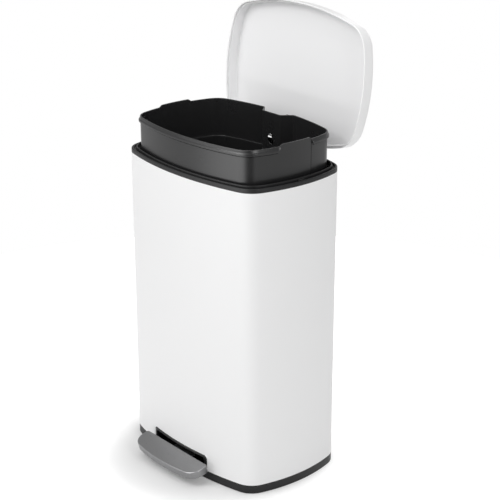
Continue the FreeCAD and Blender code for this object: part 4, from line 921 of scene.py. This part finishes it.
def pedal_pad():
    """Pressed steel pad: flat face, rolled edge, skirt, and its hollow under side as one skin."""
    plan = pad_plan()
    wall, reach = 2.5, 5.0
    section = filleted([(reach, 0.0), (0.0, 0.0), (0.0, -PAD_TALL), (wall, -PAD_TALL),
                        (wall, -wall), (reach, -wall)], [1.7, 0.7, 0.7, 1.0], 8)
    points = stacked(from_section(section, plan))
    slot = (plan.base[:, 1] > -1) & (np.abs(plan.base[:, 0]) <= SLOT_HALF + 1e-3)
    points[slot, :, 2] = np.maximum(points[slot, :, 2], -PAD_TALL + 3.2)
    verts, faces = capped(points, (0, -20))
    return piece("foot_pad", sloped(verts), faces, "pedal", "pedal_steel", "pedal_pad")


# ---------------------------------------------------------------- studio
AZIMUTH, ELEVATION = math.radians(49.48), math.radians(20.69)
DISTANCE = 2.77623
AIM_ALONG, AIM_HIGH = 0.03328, 0.41893
LENS = 103.775
# Two sectors of the compass that reflections see: bearing, half angle where it starts, half angle
# where it's full, and its glow outside and inside.
DARK_SIDE = (58, 24, 6, 0.8, 0.12)
BRIGHT_SIDE = (-4, 42, 14, 0.0, 2.2)
DAYLIGHT = 0.5
# Share of the glossy surroundings by height: 0 straight down, 0.5 level, 1 straight up.
CEILING = ((0.48, 1.0), (0.56, 0.6), (0.82, 0.65), (0.97, 1.0))
FLOOR_RADIUS = 1.25
# The floor's glow by distance from the point below, dimmed near the bin as a painted shade round its foot: from
# where to where it rises, and its values.
PAINTED_SHADE_MIDDLE = (0.0, -0.06, 0.0)
PAINTED_SHADE_REACH = (0.15, 0.33)
PAINTED_SHADE_GLOW = (0.15, 1.0)
# name, place, aim, width, height, power
LAMPS = (
    ("front_box", (-1.5, -2.5, 1.5), (0, 0, 0.4), 1.8, 2.0, 6.9),
    ("low_front", (0.1, -2.4, 0.43), (0, 0, 0.43), 2.4, 0.08, 5.1),
    ("top_front", (-0.3, -1.7, 2.1), (0, 0, 0.5), 1.4, 1.0, 20.1),
    ("side_box", (2.5, -0.35, 1.5), (0, 0, 0.4), 0.95, 2.0, 22.6),
    ("top_box", (-0.2, -0.5, 2.6), (0, 0, 0.3), 1.8, 1.8, 10.2),
    ("back_box", (-0.8, 2.4, 1.4), (0, 0, 0.4), 1.4, 1.4, 9.0),
)


def place_facing(thing, place, direction):
    """Stand a camera or a lamp at a place and turn its -Z to a direction."""
    bpy.context.scene.collection.objects.link(thing)
    thing.location = place
    thing.rotation_mode = "QUATERNION"
    thing.rotation_quaternion = Vector(direction).to_track_quat("-Z", "Y")


def camera():
    """A long lens to the right of the front, looking down a little."""
    data = bpy.data.cameras.new("camera")
    data.lens = LENS
    data.sensor_width = 36.0
    data.clip_end = 50
    aim = np.array([AIM_ALONG * math.cos(AZIMUTH), AIM_ALONG * math.sin(AZIMUTH), AIM_HIGH])
    back = np.array([math.sin(AZIMUTH) * math.cos(ELEVATION),
                     -math.cos(AZIMUTH) * math.cos(ELEVATION), math.sin(ELEVATION)])
    view = bpy.data.objects.new("camera", data)
    place_facing(view, aim + DISTANCE * back, -back)
    bpy.context.scene.camera = view


def lamp(name, place, aim, width, height, power):
    """A soft rectangular lamp aimed at a point."""
    data = bpy.data.lights.new(name, "AREA")
    data.shape = "RECTANGLE"
    data.size = width
    data.size_y = height
    data.energy = power
    place_facing(bpy.data.objects.new(name, data), place, Vector(aim) - Vector(place))


def sector(tree, level, bearing, start, full, outside, inside):
    """Glow of one sector of the compass, from the cosine between a level ray and its bearing."""
    middle = (math.sin(math.radians(bearing)), -math.cos(math.radians(bearing)), 0)
    near = vectors(tree, "DOT_PRODUCT", level, middle, "Value")
    span = [math.cos(math.radians(angle)) for angle in (start, full)]
    return remap(tree, near, span, (outside, inside), smooth=True)


def surroundings():
    """White for the eye; for reflections a pale studio with a dark and a bright side; soft white as
    light. The reflected glow is the sum of the two sectors, times the ceiling's share by height."""
    world = bpy.data.worlds.new("studio")
    bpy.context.scene.world = world
    world.use_nodes = True
    tree = world.node_tree
    ground = tree.nodes["Background"]
    ground.inputs["Color"].default_value = (1, 1, 1, 1)
    path = tree.nodes.new("ShaderNodeLightPath")
    ray = tree.nodes.new("ShaderNodeTexCoord").outputs["Generated"]
    level = vectors(tree, "NORMALIZE", vectors(tree, "MULTIPLY", ray, (1, 1, 0)), (0, 0, 0))
    sides = maths(tree, "ADD", sector(tree, level, *DARK_SIDE), sector(tree, level, *BRIGHT_SIDE))
    split = tree.nodes.new("ShaderNodeSeparateXYZ")
    feed(tree, ray, split.inputs[0])
    ceiling = tree.nodes.new("ShaderNodeValToRGB")
    ramp = ceiling.color_ramp
    ramp.interpolation = "EASE"
    while len(ramp.elements) < len(CEILING):
        ramp.elements.new(1.0)
    for stop, (height, glow) in zip(ramp.elements, CEILING):
        stop.position = height
        stop.color = (glow, glow, glow, 1)
    feed(tree, remap(tree, split.outputs["Z"], (-1, 1), (0, 1)), ceiling.inputs["Fac"])
    gloss = tree.nodes.new("ShaderNodeMix")
    feed(tree, path.outputs["Is Glossy Ray"], gloss.inputs["Factor"])
    feed(tree, DAYLIGHT, gloss.inputs["A"])
    feed(tree, maths(tree, "MULTIPLY", sides, ceiling.outputs["Color"]), gloss.inputs["B"])
    feed(tree, maths(tree, "MAXIMUM", path.outputs["Is Camera Ray"], gloss.outputs["Result"]),
         ground.inputs["Strength"])


def floor():
    """A round pale floor that keeps the bin's shadow; its edge fades into the white background, and near the bin
    its glow is dimmed to a painted shade round the foot.
    """
    angle = np.linspace(0, 2 * math.pi, 97)[:-1]
    rim = np.stack([np.cos(angle), np.sin(angle), 0 * angle], 1) * FLOOR_RADIUS
    mesh = bpy.data.meshes.new("floor")
    mesh.from_pydata(rim.tolist(), [], [tuple(range(len(rim)))])
    ground = bpy.data.objects.new("floor", mesh)
    bpy.context.scene.collection.objects.link(ground)
    material, tree, body = shader("floor_white", (0.62, 0.62, 0.62), 0.9, specular=0.0)
    body.inputs["Emission Color"].default_value = (1, 1, 1, 1)
    path = tree.nodes.new("ShaderNodeLightPath")
    seen = maths(tree, "MAXIMUM", path.outputs["Is Camera Ray"], path.outputs["Is Glossy Ray"])
    place = tree.nodes.new("ShaderNodeTexCoord")
    reach = vectors(tree, "DISTANCE", place.outputs["Object"], PAINTED_SHADE_MIDDLE, "Value")
    # Dimmest near the bin: painted shade on the floor round the bin's foot, laid under its real shadow.
    glow = remap(tree, reach, PAINTED_SHADE_REACH, PAINTED_SHADE_GLOW, smooth=True)
    feed(tree, maths(tree, "MULTIPLY", seen, glow), body.inputs["Emission Strength"])
    mesh.materials.append(material)


def studio():
    """Soft boxes: left and low and high in front, at the right, overhead and a weak one behind."""
    camera()
    surroundings()
    floor()
    for row in LAMPS:
        lamp(*row)


finish_cad_nodes()
outer_shell()
base_moulding()
pedal_frame()
rim_collar()
rubber_feet()
lid_pieces()
inner_bucket()
pedal_pad()
studio()
bpy.context.scene.view_settings.view_transform = "Standard"
